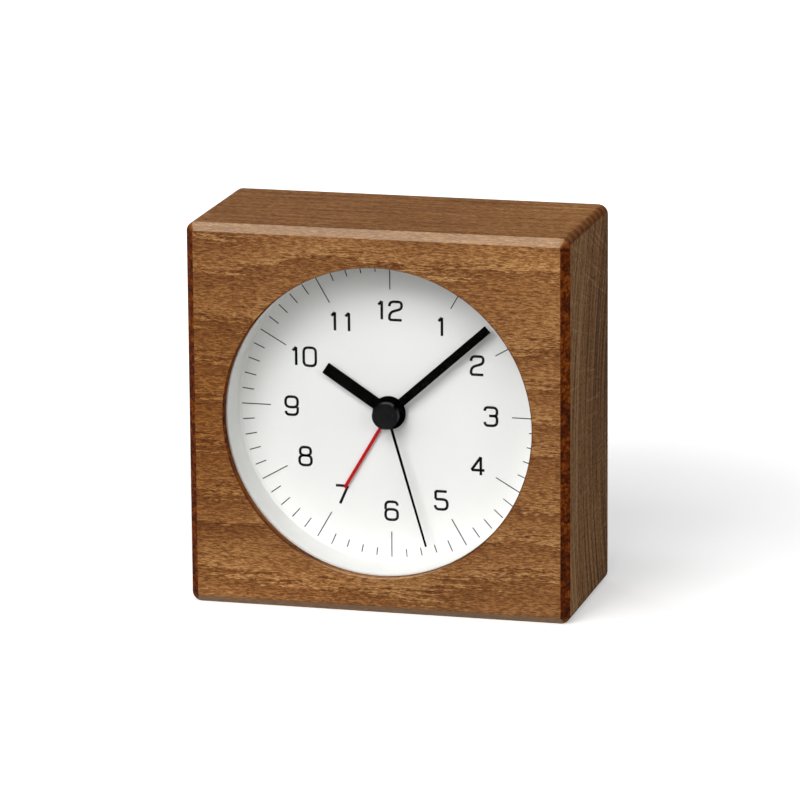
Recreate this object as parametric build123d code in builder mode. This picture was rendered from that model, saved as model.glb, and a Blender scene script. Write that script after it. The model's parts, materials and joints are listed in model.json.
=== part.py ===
"""Wooden desk alarm clock.

A square block of stained hardwood is bored from the back. The lens, the dial ring and the dial drop into
the bore, a quartz alarm movement stands behind the dial, and a moulded back cover holds the stack forward
and carries the battery, the two setting knobs, the alarm switch and the snooze button.

The origin is the centre of the block's underside. +Z is up and the dial faces -Y. Most places are given
as a depth behind the block's front face, and as x and z from the axis of the hands.
"""
from build123d import *
from math import atan2, cos, degrees, pi, radians, sin, sqrt
import os

os.makedirs("parts", exist_ok=True)

# Block, with the grain running across it
block_width = 110.0
block_height = 110.0
block_depth = 50.0
corner_radius = 2.8
front_chamfer = 2.3
arris_radius = 0.3
lip_depth = 2.6
lip_width = 4.05
opening_break = 0.3
bore_wall = 6.5
drop_in_gap = 0.3
rebate_wall = 5.0
rebate_radius = 4.0

# Lens, dial ring and dial, stacked behind the lip
lens_thickness = 1.5
dial_ring_height = 11.9
dial_ring_foot = 0.8
dial_ring_land = 0.25
dial_thickness = 0.8

# Fits
running_gap = 0.08
pivot_gap = 0.06
seat_gap = 0.2
cut_overrun = 1.0

# Back cover
cover_thickness = 2.0
cover_inset = 0.2
cover_wall = 1.2
skirt_wall = 2.0
cover_screw_inset = 7.0
cover_screw_radius = 1.4
cover_screw_head_radius = 2.8
cover_screw_length = 12.0
screw_cross_length = 3.0
screw_cross_width = 0.6
screw_cross_depth = 0.9

# Concentric arbors of the hands, from the inside out
second_arbor_radius = 0.4
minute_tube_wall = 0.37
hour_tube_wall = 0.42
alarm_tube_wall = 0.47
bush_wall = 0.9
bush_stand = 0.4
dial_hole_gap = 0.2

# Hands: how far each stands off the dial, and what it measures
alarm_hand_stand = 0.7
alarm_hand_thickness = 0.3
alarm_hand_length = 26.5
alarm_hand_width = 0.9
alarm_boss_radius = 3.4
alarm_hand_angle = 210.5
hour_hand_stand = 1.7
hour_hand_thickness = 0.4
hour_hand_length = 22.0
hour_hand_width = 3.45
hour_boss_radius = 4.8
hour_hand_angle = 303.2
minute_hand_stand = 2.9
minute_hand_thickness = 0.4
minute_hand_tip_gap = 5.75
minute_hand_width = 2.45
minute_boss_radius = 4.2
minute_hand_angle = 48.3
second_hand_stand = 3.9
second_hand_thickness = 0.2
second_hand_tip_gap = 5.05
second_hand_root_width = 0.8
second_hand_tip_width = 0.55
second_hand_angle = 163.8
cap_radius = 3.8
cap_height = 3.0
cap_bevel = 0.45

# Movement housing
movement_size = 56.0
movement_wall = 1.2
movement_corner = 3.0
housing_post_inset = 3.5
housing_post_radius = 2.0

# Wheels lie in layers at an even pitch
first_layer_gap = 0.3
layer_pitch = 1.4
wheel_thickness = 0.8
pinion_overhang = 0.2
last_layer_gap = 0.9
pivot_depth = 0.6
wheel_rim = 1.5
wheel_hub_radius = 2.2
wheel_arm_width = 1.6
wheel_arm_count = 4

# Places of the arbors, seen from the front
train_distance = 10.8
rotor_distance = 6.0
motion_distance = 12.0
alarm_distance = 15.0
knob_height = 7.5
third_direction = 270.0
intermediate_direction = -25.0
rotor_direction = -20.0

# Teeth
centre_teeth = 64
third_pinion_teeth = 8
third_teeth = 60
second_pinion_teeth = 8
second_teeth = 60
intermediate_pinion_teeth = 10
intermediate_teeth = 40
rotor_pinion_teeth = 8
cannon_teeth = 12
motion_teeth = 36
motion_pinion_teeth = 12
hour_teeth = 48
alarm_teeth = 40
alarm_pinion_teeth = 20
fine_pinion_most_teeth = 12

# Flank of a tooth: height over the pitch circle in modules, and half its thickness in tooth spacings
wheel_flank_shares = ((-1.15, 0.28), (0.0, 0.22), (0.9, 0.12))
fine_pinion_flank_shares = ((-1.1, 0.21), (0.0, 0.21), (0.8, 0.15))

# Arbors
train_arbor_radius = 0.4
setting_arbor_radius = 1.0

# Stepping motor
magnet_radius = 2.4
magnet_height = 1.6
stator_gap = 0.4
stator_thickness = 0.8
stator_ring = 1.6
stator_arm_width = 3.6
stator_post_gap = 0.1
coil_wall_gap = 1.2
core_width = 1.6
core_thickness = 0.8
bobbin_barrel_radius = 1.3
bobbin_flange_radius = 2.8
bobbin_flange_thickness = 0.6
bobbin_end_gap = 0.4
winding_inset = 0.3

# Circuit board with its crystal and chip
circuit_hole_edge = 0.8
circuit_height = 40.0
circuit_thickness = 1.0
circuit_edge_gap = 0.8
circuit_post_radius = 1.5
circuit_post_inset = 3.0
crystal_radius = 1.0
crystal_length = 6.0
crystal_z = 2.0
chip_radius = 3.0
chip_height = 0.9
chip_z = -6.0
alarm_leaf_width = 3.0
alarm_leaf_thickness = 0.2
alarm_leaf_tip_x = -4.0
alarm_leaf_z = -3.0
alarm_leaf_post_radius = 1.6

# Battery, size AA, with its contacts
battery_radius = 7.25
battery_body_length = 49.5
battery_nub_radius = 2.75
battery_nub_length = 1.0
battery_gap = 0.25
battery_drop = 20.0
battery_edge = 0.8
contact_thickness = 0.4
contact_width = 9.0
contact_height = 10.0
battery_spring_length = 4.6
battery_spring_radius = 4.2
battery_spring_tip_radius = 2.6
battery_spring_wire = 0.35
battery_spring_turns = 3
wire_sides = 8

# Battery door
door_thickness = 1.2
door_ledge = 1.8
door_gap = 0.15
door_corner = 1.5
door_leg_width = 8.0
door_leg_thickness = 1.0
door_leg_length = 2.5
door_leg_spread = 30.0
door_grip_length = 12.0
door_grip_width = 0.9
door_grip_depth = 0.4
door_grip_pitch = 2.2
door_grip_count = 3

# Setting knobs in their wells
knob_radius = 7.0
knob_thickness = 5.0
knob_inset = 0.4
knob_flute_radius = 0.7
knob_flute_count = 20
knob_dish_depth = 0.8
knob_rim = 1.6
knob_finger_gap = 2.0
well_floor_gap = 0.4
well_floor = 1.0

# Buzzer behind its grille
buzzer_radius = 11.5
buzzer_height = 4.5
buzzer_skirt_gap = 3.3
buzzer_seat_height = 2.5
grille_slot_width = 1.4
grille_slot_pitch = 3.4
grille_slot_count = 5
grille_span = 17.0

# Control on each side of the knobs
control_well_gap = 1.8
control_z = 8.0
control_board_width = 12.0
control_board_height = 22.0
control_board_thickness = 1.0
control_board_depth = 3.8
control_post_radius = 1.5
control_post_inset = 2.0
dish_depth = 0.8
dish_margin = 2.6

# Alarm switch
switch_travel = 4.0
switch_knob_width = 4.5
switch_knob_height = 4.0
switch_base_margin = 2.0
switch_base_thickness = 1.0
switch_slide_gap = 0.1
switch_stem_width = 3.0
switch_ridge_width = 0.5
switch_ridge_depth = 0.4
switch_ridge_pitch = 1.2
switch_ridge_count = 3

# Snooze button and its spring
snooze_radius = 4.5
snooze_travel = 1.0
snooze_gap = 0.15
snooze_flange_margin = 1.2
snooze_flange_thickness = 0.8
snooze_plunger_radius = 1.3
snooze_edge = 0.5
snooze_spring_radius = 2.1
snooze_spring_wire = 0.2
snooze_spring_turns = 3

# Depths behind the front face, worked out from the sizes above
lens_front = lip_depth
ring_front = lens_front + lens_thickness
dial_front = ring_front + dial_ring_height
dial_back = dial_front + dial_thickness
cover_back = block_depth - cover_inset
cover_front = cover_back - cover_thickness
movement_inside = dial_back + movement_wall
alarm_layer = movement_inside + first_layer_gap
hour_layer = alarm_layer + layer_pitch
motion_layer = hour_layer + layer_pitch
plate_layer = motion_layer + layer_pitch
centre_layer = plate_layer + layer_pitch
third_layer = centre_layer + layer_pitch
second_layer = third_layer + layer_pitch
intermediate_layer = second_layer + layer_pitch
plate_back = plate_layer + wheel_thickness
rear_inside = intermediate_layer + wheel_thickness + last_layer_gap
movement_back = rear_inside + movement_wall
alarm_hand_back = dial_front - alarm_hand_stand
hour_hand_back = dial_front - hour_hand_stand
minute_hand_back = dial_front - minute_hand_stand
second_hand_back = dial_front - second_hand_stand
cap_back = second_hand_back - second_hand_thickness
knob_back = cover_back - knob_inset
knob_front = knob_back - knob_thickness
well_floor_back = knob_front - well_floor_gap
well_floor_front = well_floor_back - well_floor
door_front = cover_back - door_thickness
battery_depth = door_front - battery_gap - battery_radius
control_board_back = cover_front - control_board_depth
dish_floor = cover_back - dish_depth

# Bore, opening and rebate of the block, and what drops into them
bore_radius = min(block_width, block_height) / 2 - bore_wall
opening_radius = bore_radius - lip_width
rebate_width = block_width - 2 * rebate_wall
rebate_height = block_height - 2 * rebate_wall
drop_in_radius = bore_radius - drop_in_gap
skirt_inside = drop_in_radius - skirt_wall
cover_screw_columns = rebate_width - 2 * cover_screw_inset
cover_screw_rows = rebate_height - 2 * cover_screw_inset
minute_hand_length = opening_radius - minute_hand_tip_gap
second_hand_length = opening_radius - second_hand_tip_gap

# Radii of the tubes and arbors, each outside the last
minute_tube_bore = second_arbor_radius + running_gap
minute_tube_radius = minute_tube_bore + minute_tube_wall
hour_tube_bore = minute_tube_radius + running_gap
hour_tube_radius = hour_tube_bore + hour_tube_wall
alarm_tube_bore = hour_tube_radius + running_gap
alarm_tube_radius = alarm_tube_bore + alarm_tube_wall
bush_bore = alarm_tube_radius + running_gap
bush_radius = bush_bore + bush_wall
train_pivot_bore = train_arbor_radius + pivot_gap
setting_pivot_bore = setting_arbor_radius + running_gap
well_radius = knob_radius + knob_finger_gap
well_outside = well_radius + cover_wall
buzzer_seat_bore = buzzer_radius + seat_gap

# Places as (x, z) from the axis of the hands
hands_centre = (0, 0)
motion_place = (sqrt(motion_distance**2 - knob_height**2), knob_height)
alarm_place = (-sqrt(alarm_distance**2 - knob_height**2), knob_height)
third_place = (
    train_distance * cos(radians(third_direction)),
    train_distance * sin(radians(third_direction)),
)
intermediate_place = (
    train_distance * cos(radians(intermediate_direction)),
    train_distance * sin(radians(intermediate_direction)),
)
rotor_place = (
    intermediate_place[0] + rotor_distance * cos(radians(rotor_direction)),
    intermediate_place[1] + rotor_distance * sin(radians(rotor_direction)),
)
battery_place = (0, -battery_drop)
buzzer_place = (0, skirt_inside - buzzer_skirt_gap - cover_wall - buzzer_seat_bore)
control_x = control_board_width / 2 + control_well_gap + well_outside - alarm_place[0]
switch_place = (control_x, control_z)
snooze_place = (-control_x, control_z)


def behind(depth, place=hands_centre):
    """Plane at a depth behind the front face, seen from the front, centred on a place."""
    return Plane(
        origin=(place[0], depth - block_depth / 2, block_height / 2 + place[1]),
        x_dir=(1, 0, 0),
        z_dir=(0, -1, 0),
    )


def clockwise(depth, angle):
    """The same plane turned so that its y axis points at a clock angle."""
    turn = radians(angle)
    return Plane(origin=behind(depth).origin, x_dir=(cos(turn), 0, -sin(turn)), z_dir=(0, -1, 0))


def direction(start, end):
    """Angle of the line from one place to another, anticlockwise from +X."""
    return Vector(end[0] - start[0], end[1] - start[1]).get_signed_angle(Vector(1, 0), Vector(0, 0, -1))


def across(start):
    """Plane across the battery's axis at a place along X, seen from the +X side."""
    return Plane(
        origin=(start, battery_depth - block_depth / 2, block_height / 2 - battery_drop),
        x_dir=(0, 1, 0),
        z_dir=(1, 0, 0),
    )


def wheel_outline(teeth, module, facing, gap=False):
    """Closed outline of straight-flanked teeth, with a tooth, or a gap, facing the partner."""
    flank = wheel_flank_shares if teeth > fine_pinion_most_teeth else fine_pinion_flank_shares
    corners = [(rise, -share) for rise, share in flank] + [(rise, share) for rise, share in reversed(flank)]
    spacing = 2 * pi / teeth
    first = radians(facing) + (spacing / 2 if gap else 0)
    points = []
    for tooth in range(teeth):
        for rise, share in corners:
            radius = module * (teeth / 2 + rise)
            angle = first + spacing * (tooth + share)
            points.append((radius * cos(angle), radius * sin(angle)))
    Polyline(*points, close=True)


def add_wheel(layer, place, teeth, module, facing, gap=False, overhang=0.0):
    """Add a toothed disc, one layer thick, to the open part."""
    with BuildSketch(behind(layer + wheel_thickness + overhang, place)) as toothed:
        with BuildLine():
            wheel_outline(teeth, module, facing, gap)
        make_face()
    extrude(toothed.sketch, amount=wheel_thickness + 2 * overhang)


def cut_arms(layer, place, teeth, module):
    """Open the web of a wheel between its hub, its rim and its arms."""
    rim_inside = module * teeth / 2 - wheel_rim
    with BuildSketch(behind(layer + wheel_thickness, place)) as windows:
        Circle(rim_inside)
        Circle(wheel_hub_radius, mode=Mode.SUBTRACT)
        with PolarLocations(0, wheel_arm_count):
            Rectangle(rim_inside, wheel_arm_width, align=(Align.MIN, Align.CENTER), mode=Mode.SUBTRACT)
    extrude(windows.sketch, amount=wheel_thickness, mode=Mode.SUBTRACT)


def add_rod(back, front, place, radius, bore=0.0):
    """Add a round rod, or a tube, between two depths to the open part."""
    with BuildSketch(behind(back, place)) as rod:
        Circle(radius)
        if bore > 0:
            Circle(bore, mode=Mode.SUBTRACT)
    extrude(rod.sketch, amount=back - front)


def cut_rod(back, front, place, radius):
    """Cut a round hole between two depths out of the open part."""
    with BuildSketch(behind(back, place)) as hole:
        Circle(radius)
    extrude(hole.sketch, amount=back - front, mode=Mode.SUBTRACT)


# Wooden block
with BuildPart() as case:
    with BuildSketch(behind(block_depth)):
        RectangleRounded(block_width, block_height, corner_radius)
    extrude(amount=block_depth)
    chamfer(case.faces().sort_by(Axis.Y)[0].edges(), length=front_chamfer)
    fillet(case.edges().filter_by(Axis.Y, reverse=True), radius=arris_radius)
    cut_rod(block_depth, 0, hands_centre, opening_radius)
    chamfer(case.faces().sort_by(Axis.Y)[0].inner_wires()[0].edges(), length=opening_break)
    cut_rod(block_depth, lip_depth, hands_centre, bore_radius)
    with BuildSketch(behind(block_depth)):
        RectangleRounded(rebate_width, rebate_height, rebate_radius)
    extrude(amount=block_depth - cover_front, mode=Mode.SUBTRACT)
    with BuildSketch(behind(cover_front)):
        with GridLocations(cover_screw_columns, cover_screw_rows, 2, 2):
            Circle(cover_screw_radius)
    extrude(amount=cover_screw_length, mode=Mode.SUBTRACT)
case.part.label = "case"
export_step(case.part, "parts/case.step")

# Lens
with BuildPart() as lens:
    add_rod(ring_front, lens_front, hands_centre, drop_in_radius)
lens.part.label = "lens"
export_step(lens.part, "parts/lens.step")

# Dial ring: its wall runs down to the dial in a small cove. The profile lies in the vertical plane
# through the hands, with depth along Y
ring_base = dial_front - block_depth / 2
ring_top = ring_front - block_depth / 2
with BuildPart() as dial_ring:
    with BuildSketch(Plane(origin=(0, 0, block_height / 2), x_dir=(1, 0, 0), z_dir=(0, 0, 1))):
        with BuildLine():
            cove_start = (opening_radius, ring_base - dial_ring_land - dial_ring_foot)
            cove_end = (opening_radius - dial_ring_foot, ring_base - dial_ring_land)
            Polyline(
                cove_end,
                (opening_radius - dial_ring_foot, ring_base),
                (drop_in_radius, ring_base),
                (drop_in_radius, ring_top),
                (opening_radius, ring_top),
                cove_start,
            )
            TangentArc(cove_start, cove_end, tangent=(0, 1))
        make_face()
    revolve(axis=Axis((0, 0, block_height / 2), (0, 1, 0)))
dial_ring.part.label = "dial_ring"
export_step(dial_ring.part, "parts/dial_ring.step")

# Dial, a flat disc with a hole for the movement's bush
with BuildPart() as dial:
    add_rod(dial_back, dial_front, hands_centre, drop_in_radius, bush_radius + dial_hole_gap)
dial.part.label = "dial"
export_step(dial.part, "parts/dial.step")


def add_hand(back, thickness, angle, width, length, boss_radius, bore, tip_width=0.0):
    """Add a flat square-ended hand with a round boss, turned to its clock angle."""
    with BuildSketch(clockwise(back, angle)) as blade:
        with BuildLine():
            end_width = tip_width or width
            Polyline(
                (-width / 2, 0),
                (width / 2, 0),
                (end_width / 2, length),
                (-end_width / 2, length),
                close=True,
            )
        make_face()
        Circle(boss_radius)
        Circle(bore, mode=Mode.SUBTRACT)
    extrude(blade.sketch, amount=thickness)


# Alarm hand
with BuildPart() as alarm_hand:
    add_hand(
        alarm_hand_back,
        alarm_hand_thickness,
        alarm_hand_angle,
        alarm_hand_width,
        alarm_hand_length,
        alarm_boss_radius,
        alarm_tube_radius,
    )
alarm_hand.part.label = "alarm_hand"
export_step(alarm_hand.part, "parts/alarm_hand.step")

# Hour hand
with BuildPart() as hour_hand:
    add_hand(
        hour_hand_back,
        hour_hand_thickness,
        hour_hand_angle,
        hour_hand_width,
        hour_hand_length,
        hour_boss_radius,
        hour_tube_radius,
    )
hour_hand.part.label = "hour_hand"
export_step(hour_hand.part, "parts/hour_hand.step")

# Minute hand
with BuildPart() as minute_hand:
    add_hand(
        minute_hand_back,
        minute_hand_thickness,
        minute_hand_angle,
        minute_hand_width,
        minute_hand_length,
        minute_boss_radius,
        minute_tube_radius,
    )
minute_hand.part.label = "minute_hand"
export_step(minute_hand.part, "parts/minute_hand.step")

# Second hand, tapered, with a boss as wide as the cap that covers it
with BuildPart() as second_hand:
    add_hand(
        second_hand_back,
        second_hand_thickness,
        second_hand_angle,
        second_hand_root_width,
        second_hand_length,
        cap_radius,
        second_arbor_radius,
        second_hand_tip_width,
    )
second_hand.part.label = "second_hand"
export_step(second_hand.part, "parts/second_hand.step")

# Cap over the hands, bevelled round its face
with BuildPart() as centre_cap:
    add_rod(cap_back, cap_back - cap_height, hands_centre, cap_radius)
    chamfer(centre_cap.faces().sort_by(Axis.Y)[0].edges(), length=cap_bevel)
    cut_rod(cap_back, cap_back - cap_height / 2, hands_centre, second_arbor_radius)
centre_cap.part.label = "centre_cap"
export_step(centre_cap.part, "parts/centre_cap.step")

# Modules of the meshing pairs follow from their distances
alarm_module = 2 * alarm_distance / (alarm_teeth + alarm_pinion_teeth)
hour_module = 2 * motion_distance / (hour_teeth + motion_pinion_teeth)
motion_module = 2 * motion_distance / (cannon_teeth + motion_teeth)
centre_module = 2 * train_distance / (centre_teeth + third_pinion_teeth)
third_module = 2 * train_distance / (third_teeth + second_pinion_teeth)
second_module = 2 * train_distance / (second_teeth + intermediate_pinion_teeth)
rotor_module = 2 * rotor_distance / (intermediate_teeth + rotor_pinion_teeth)

# Directions along which the pairs mesh
to_motion = direction(hands_centre, motion_place)
to_alarm = direction(hands_centre, alarm_place)
to_rotor = direction(intermediate_place, rotor_place)
half_turn = 180
right_angle = 90

# Alarm wheel with its tube, which carries the alarm hand
with BuildPart() as alarm_wheel:
    add_wheel(alarm_layer, hands_centre, alarm_teeth, alarm_module, to_alarm)
    cut_arms(alarm_layer, hands_centre, alarm_teeth, alarm_module)
    alarm_tube_front = alarm_hand_back - alarm_hand_thickness
    add_rod(alarm_layer + wheel_thickness, alarm_tube_front, hands_centre, alarm_tube_radius)
    cut_rod(alarm_layer + wheel_thickness, alarm_tube_front, hands_centre, alarm_tube_bore)
alarm_wheel.part.label = "alarm_wheel"
export_step(alarm_wheel.part, "parts/alarm_wheel.step")

# Hour wheel with its tube, which carries the hour hand
with BuildPart() as hour_wheel:
    add_wheel(hour_layer, hands_centre, hour_teeth, hour_module, to_motion)
    cut_arms(hour_layer, hands_centre, hour_teeth, hour_module)
    hour_tube_front = hour_hand_back - hour_hand_thickness
    add_rod(hour_layer + wheel_thickness, hour_tube_front, hands_centre, hour_tube_radius)
    cut_rod(hour_layer + wheel_thickness, hour_tube_front, hands_centre, hour_tube_bore)
hour_wheel.part.label = "hour_wheel"
export_step(hour_wheel.part, "parts/hour_wheel.step")

# Cannon pinion: its tube carries the minute hand in front and the centre wheel behind
with BuildPart() as cannon_pinion:
    add_wheel(motion_layer, hands_centre, cannon_teeth, motion_module, to_motion, overhang=pinion_overhang)
    minute_tube_front = minute_hand_back - minute_hand_thickness
    minute_tube_back = centre_layer + wheel_thickness + pinion_overhang
    add_rod(minute_tube_back, minute_tube_front, hands_centre, minute_tube_radius)
    cut_rod(minute_tube_back, minute_tube_front, hands_centre, minute_tube_bore)
cannon_pinion.part.label = "cannon_pinion"
export_step(cannon_pinion.part, "parts/cannon_pinion.step")

# Motion wheel and pinion on the arbor of the time-setting knob
with BuildPart() as motion_wheel:
    facing = to_motion + half_turn
    add_wheel(motion_layer, motion_place, motion_teeth, motion_module, facing, gap=True)
    cut_arms(motion_layer, motion_place, motion_teeth, motion_module)
    add_wheel(
        hour_layer,
        motion_place,
        motion_pinion_teeth,
        hour_module,
        facing,
        gap=True,
        overhang=pinion_overhang,
    )
    add_rod(knob_back - knob_thickness / 2, movement_inside - pivot_depth, motion_place, setting_arbor_radius)
motion_wheel.part.label = "motion_wheel"
export_step(motion_wheel.part, "parts/motion_wheel.step")

# Alarm pinion on the arbor of the alarm-setting knob
with BuildPart() as alarm_pinion:
    add_wheel(
        alarm_layer,
        alarm_place,
        alarm_pinion_teeth,
        alarm_module,
        to_alarm + half_turn,
        gap=True,
        overhang=pinion_overhang,
    )
    add_rod(knob_back - knob_thickness / 2, movement_inside - pivot_depth, alarm_place, setting_arbor_radius)
alarm_pinion.part.label = "alarm_pinion"
export_step(alarm_pinion.part, "parts/alarm_pinion.step")

# Centre wheel, which drives the minute tube through a slipping fit
with BuildPart() as centre_wheel:
    add_wheel(centre_layer, hands_centre, centre_teeth, centre_module, third_direction)
    cut_arms(centre_layer, hands_centre, centre_teeth, centre_module)
    cut_rod(centre_layer + wheel_thickness, centre_layer, hands_centre, hour_tube_bore)
centre_wheel.part.label = "centre_wheel"
export_step(centre_wheel.part, "parts/centre_wheel.step")

# Third wheel
with BuildPart() as third_wheel:
    facing = third_direction + half_turn
    add_wheel(third_layer, third_place, third_teeth, third_module, facing)
    cut_arms(third_layer, third_place, third_teeth, third_module)
    add_wheel(
        centre_layer,
        third_place,
        third_pinion_teeth,
        centre_module,
        facing,
        gap=True,
        overhang=pinion_overhang,
    )
    add_rod(rear_inside + pivot_depth, plate_layer, third_place, train_arbor_radius)
third_wheel.part.label = "third_wheel"
export_step(third_wheel.part, "parts/third_wheel.step")

# Second wheel, whose long arbor carries the second hand
with BuildPart() as second_wheel:
    add_wheel(second_layer, hands_centre, second_teeth, second_module, intermediate_direction)
    cut_arms(second_layer, hands_centre, second_teeth, second_module)
    add_wheel(
        third_layer,
        hands_centre,
        second_pinion_teeth,
        third_module,
        third_direction,
        gap=True,
        overhang=pinion_overhang,
    )
    add_rod(rear_inside + pivot_depth, cap_back - cap_height / 2, hands_centre, second_arbor_radius)
second_wheel.part.label = "second_wheel"
export_step(second_wheel.part, "parts/second_wheel.step")

# Intermediate wheel
with BuildPart() as intermediate_wheel:
    add_wheel(intermediate_layer, intermediate_place, intermediate_teeth, rotor_module, to_rotor)
    add_wheel(
        second_layer,
        intermediate_place,
        intermediate_pinion_teeth,
        second_module,
        intermediate_direction + half_turn,
        gap=True,
        overhang=pinion_overhang,
    )
    add_rod(rear_inside + pivot_depth, plate_layer, intermediate_place, train_arbor_radius)
intermediate_wheel.part.label = "intermediate_wheel"
export_step(intermediate_wheel.part, "parts/intermediate_wheel.step")

# Rotor of the stepping motor, a round magnet with a pinion
magnet_back = third_layer + stator_thickness / 2 + magnet_height / 2
with BuildPart() as rotor:
    add_wheel(
        intermediate_layer,
        rotor_place,
        rotor_pinion_teeth,
        rotor_module,
        to_rotor + half_turn,
        gap=True,
        overhang=pinion_overhang,
    )
    add_rod(rear_inside + pivot_depth, plate_layer, rotor_place, train_arbor_radius)
    add_rod(magnet_back, magnet_back - magnet_height, rotor_place, magnet_radius)
rotor.part.label = "rotor"
export_step(rotor.part, "parts/rotor.step")

# Stator, a flat yoke round the magnet with two arms that reach the coil's core. The lower arm passes
# just above the housing's post
housing_inside = movement_size / 2 - movement_wall
post_spacing = movement_size - 2 * housing_post_inset
post_top = post_spacing / 2 - housing_post_radius
stator_back = third_layer + stator_thickness
stator_bore = magnet_radius + stator_gap
stator_outside = stator_bore + stator_ring
stator_reach = post_top - stator_post_gap - stator_arm_width / 2 + rotor_place[1]
coil_x = housing_inside - coil_wall_gap - bobbin_flange_radius
yoke_ends = (rotor_place[1] + stator_reach, rotor_place[1] - stator_reach)
arm_start = rotor_place[0] - stator_arm_width / 2
arm_end = coil_x + stator_arm_width / 2
with BuildPart() as stator:
    with BuildSketch(behind(stator_back)):
        with Locations(rotor_place):
            Circle(stator_outside)
            Rectangle(stator_arm_width, 2 * stator_reach + stator_arm_width)
        for end in yoke_ends:
            with Locations((arm_start, end)):
                Rectangle(arm_end - arm_start, stator_arm_width, align=(Align.MIN, Align.CENTER))
        with Locations(rotor_place):
            Circle(stator_bore, mode=Mode.SUBTRACT)
    extrude(amount=stator_thickness)
stator.part.label = "stator"
export_step(stator.part, "parts/stator.step")

# Coil: a core bar across the yoke, a bobbin on it and the winding
core_depth = stator_back + core_thickness / 2
core_length = 2 * stator_reach + stator_arm_width
with BuildPart() as coil_core:
    with BuildSketch(behind(stator_back + core_thickness)):
        with Locations((coil_x, rotor_place[1])):
            Rectangle(core_width, core_length)
    extrude(amount=core_thickness)
coil_core.part.label = "coil_core"
export_step(coil_core.part, "parts/coil_core.step")

bobbin_length = 2 * stator_reach - stator_arm_width - 2 * bobbin_end_gap
coil_plane = Plane(
    origin=(coil_x, core_depth - block_depth / 2, block_height / 2 + rotor_place[1] - bobbin_length / 2),
    x_dir=(1, 0, 0),
    z_dir=(0, 0, 1),
)
winding_length = bobbin_length - 2 * bobbin_flange_thickness
with BuildPart() as coil_bobbin:
    with BuildSketch(coil_plane):
        Circle(bobbin_flange_radius)
    extrude(amount=bobbin_length)
    with BuildSketch(coil_plane.offset(bobbin_flange_thickness)):
        Circle(bobbin_flange_radius)
        Circle(bobbin_barrel_radius, mode=Mode.SUBTRACT)
    extrude(amount=winding_length, mode=Mode.SUBTRACT)
    with BuildSketch(coil_plane):
        Rectangle(core_width, core_thickness)
    extrude(amount=bobbin_length, mode=Mode.SUBTRACT)
coil_bobbin.part.label = "coil_bobbin"
export_step(coil_bobbin.part, "parts/coil_bobbin.step")

with BuildPart() as coil_winding:
    with BuildSketch(coil_plane.offset(bobbin_flange_thickness)):
        Circle(bobbin_flange_radius - winding_inset)
        Circle(bobbin_barrel_radius, mode=Mode.SUBTRACT)
    extrude(amount=winding_length)
coil_winding.part.label = "coil_winding"
export_step(coil_winding.part, "parts/coil_winding.step")

# Circuit board with its crystal and its chip under a drop of resin. It reaches from the housing's wall
# past the arbor of the alarm knob
circuit_hole = setting_arbor_radius + seat_gap
circuit_left = -housing_inside + circuit_edge_gap
circuit_right = alarm_place[0] + circuit_hole + circuit_hole_edge
circuit_x = (circuit_left + circuit_right) / 2
circuit_front = second_layer
circuit_back = circuit_front + circuit_thickness
with BuildPart() as circuit_board:
    with BuildSketch(behind(circuit_back)):
        with Locations((circuit_x, 0)):
            Rectangle(circuit_right - circuit_left, circuit_height)
        with Locations(alarm_place):
            Circle(circuit_hole, mode=Mode.SUBTRACT)
    extrude(amount=circuit_thickness)
circuit_board.part.label = "circuit_board"
export_step(circuit_board.part, "parts/circuit_board.step")

with BuildPart() as quartz_crystal:
    crystal_plane = Plane(
        origin=(
            circuit_x,
            circuit_front - crystal_radius - block_depth / 2,
            block_height / 2 + crystal_z,
        ),
        z_dir=(0, 0, 1),
    )
    with BuildSketch(crystal_plane):
        Circle(crystal_radius)
    extrude(amount=crystal_length)
quartz_crystal.part.label = "quartz_crystal"
export_step(quartz_crystal.part, "parts/quartz_crystal.step")

with BuildPart() as clock_chip:
    add_rod(circuit_back + chip_height, circuit_back, (circuit_x, chip_z), chip_radius)
    fillet(clock_chip.faces().sort_by(Axis.Y)[-1].edges(), radius=chip_height / 2)
clock_chip.part.label = "clock_chip"
export_step(clock_chip.part, "parts/clock_chip.step")

# Leaf of the alarm contact, on a post of the front housing
leaf_post_x = -housing_inside + alarm_leaf_post_radius
leaf_front = hour_layer + wheel_thickness + pinion_overhang / 2
leaf_back = leaf_front + alarm_leaf_thickness
with BuildPart() as alarm_contact:
    with BuildSketch(behind(leaf_back)):
        with Locations((leaf_post_x - alarm_leaf_width / 2, alarm_leaf_z)):
            Rectangle(
                alarm_leaf_tip_x - leaf_post_x + alarm_leaf_width / 2,
                alarm_leaf_width,
                align=(Align.MIN, Align.CENTER),
            )
    extrude(amount=alarm_leaf_thickness)
alarm_contact.part.label = "alarm_contact"
export_step(alarm_contact.part, "parts/alarm_contact.step")

# Plate between the motion work and the train
plate_size = 2 * (housing_inside - seat_gap)
with BuildPart() as middle_plate:
    with BuildSketch(behind(plate_back)):
        RectangleRounded(plate_size, plate_size, movement_corner - movement_wall)
        Circle(hour_tube_bore, mode=Mode.SUBTRACT)
        with Locations(motion_place, alarm_place):
            Circle(setting_pivot_bore, mode=Mode.SUBTRACT)
        with Locations(third_place, intermediate_place, rotor_place):
            Circle(train_pivot_bore, mode=Mode.SUBTRACT)
    extrude(amount=wheel_thickness)
    with BuildSketch(behind(circuit_front)):
        circuit_post_z = circuit_height / 2 - circuit_post_inset
        with Locations((circuit_x, circuit_post_z), (circuit_x, -circuit_post_z)):
            Circle(circuit_post_radius)
    extrude(amount=circuit_front - plate_back)
    with BuildSketch(behind(third_layer)):
        with Locations((coil_x, yoke_ends[0]), (coil_x, yoke_ends[1])):
            Circle(stator_arm_width / 2)
    extrude(amount=third_layer - plate_back)
middle_plate.part.label = "middle_plate"
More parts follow.
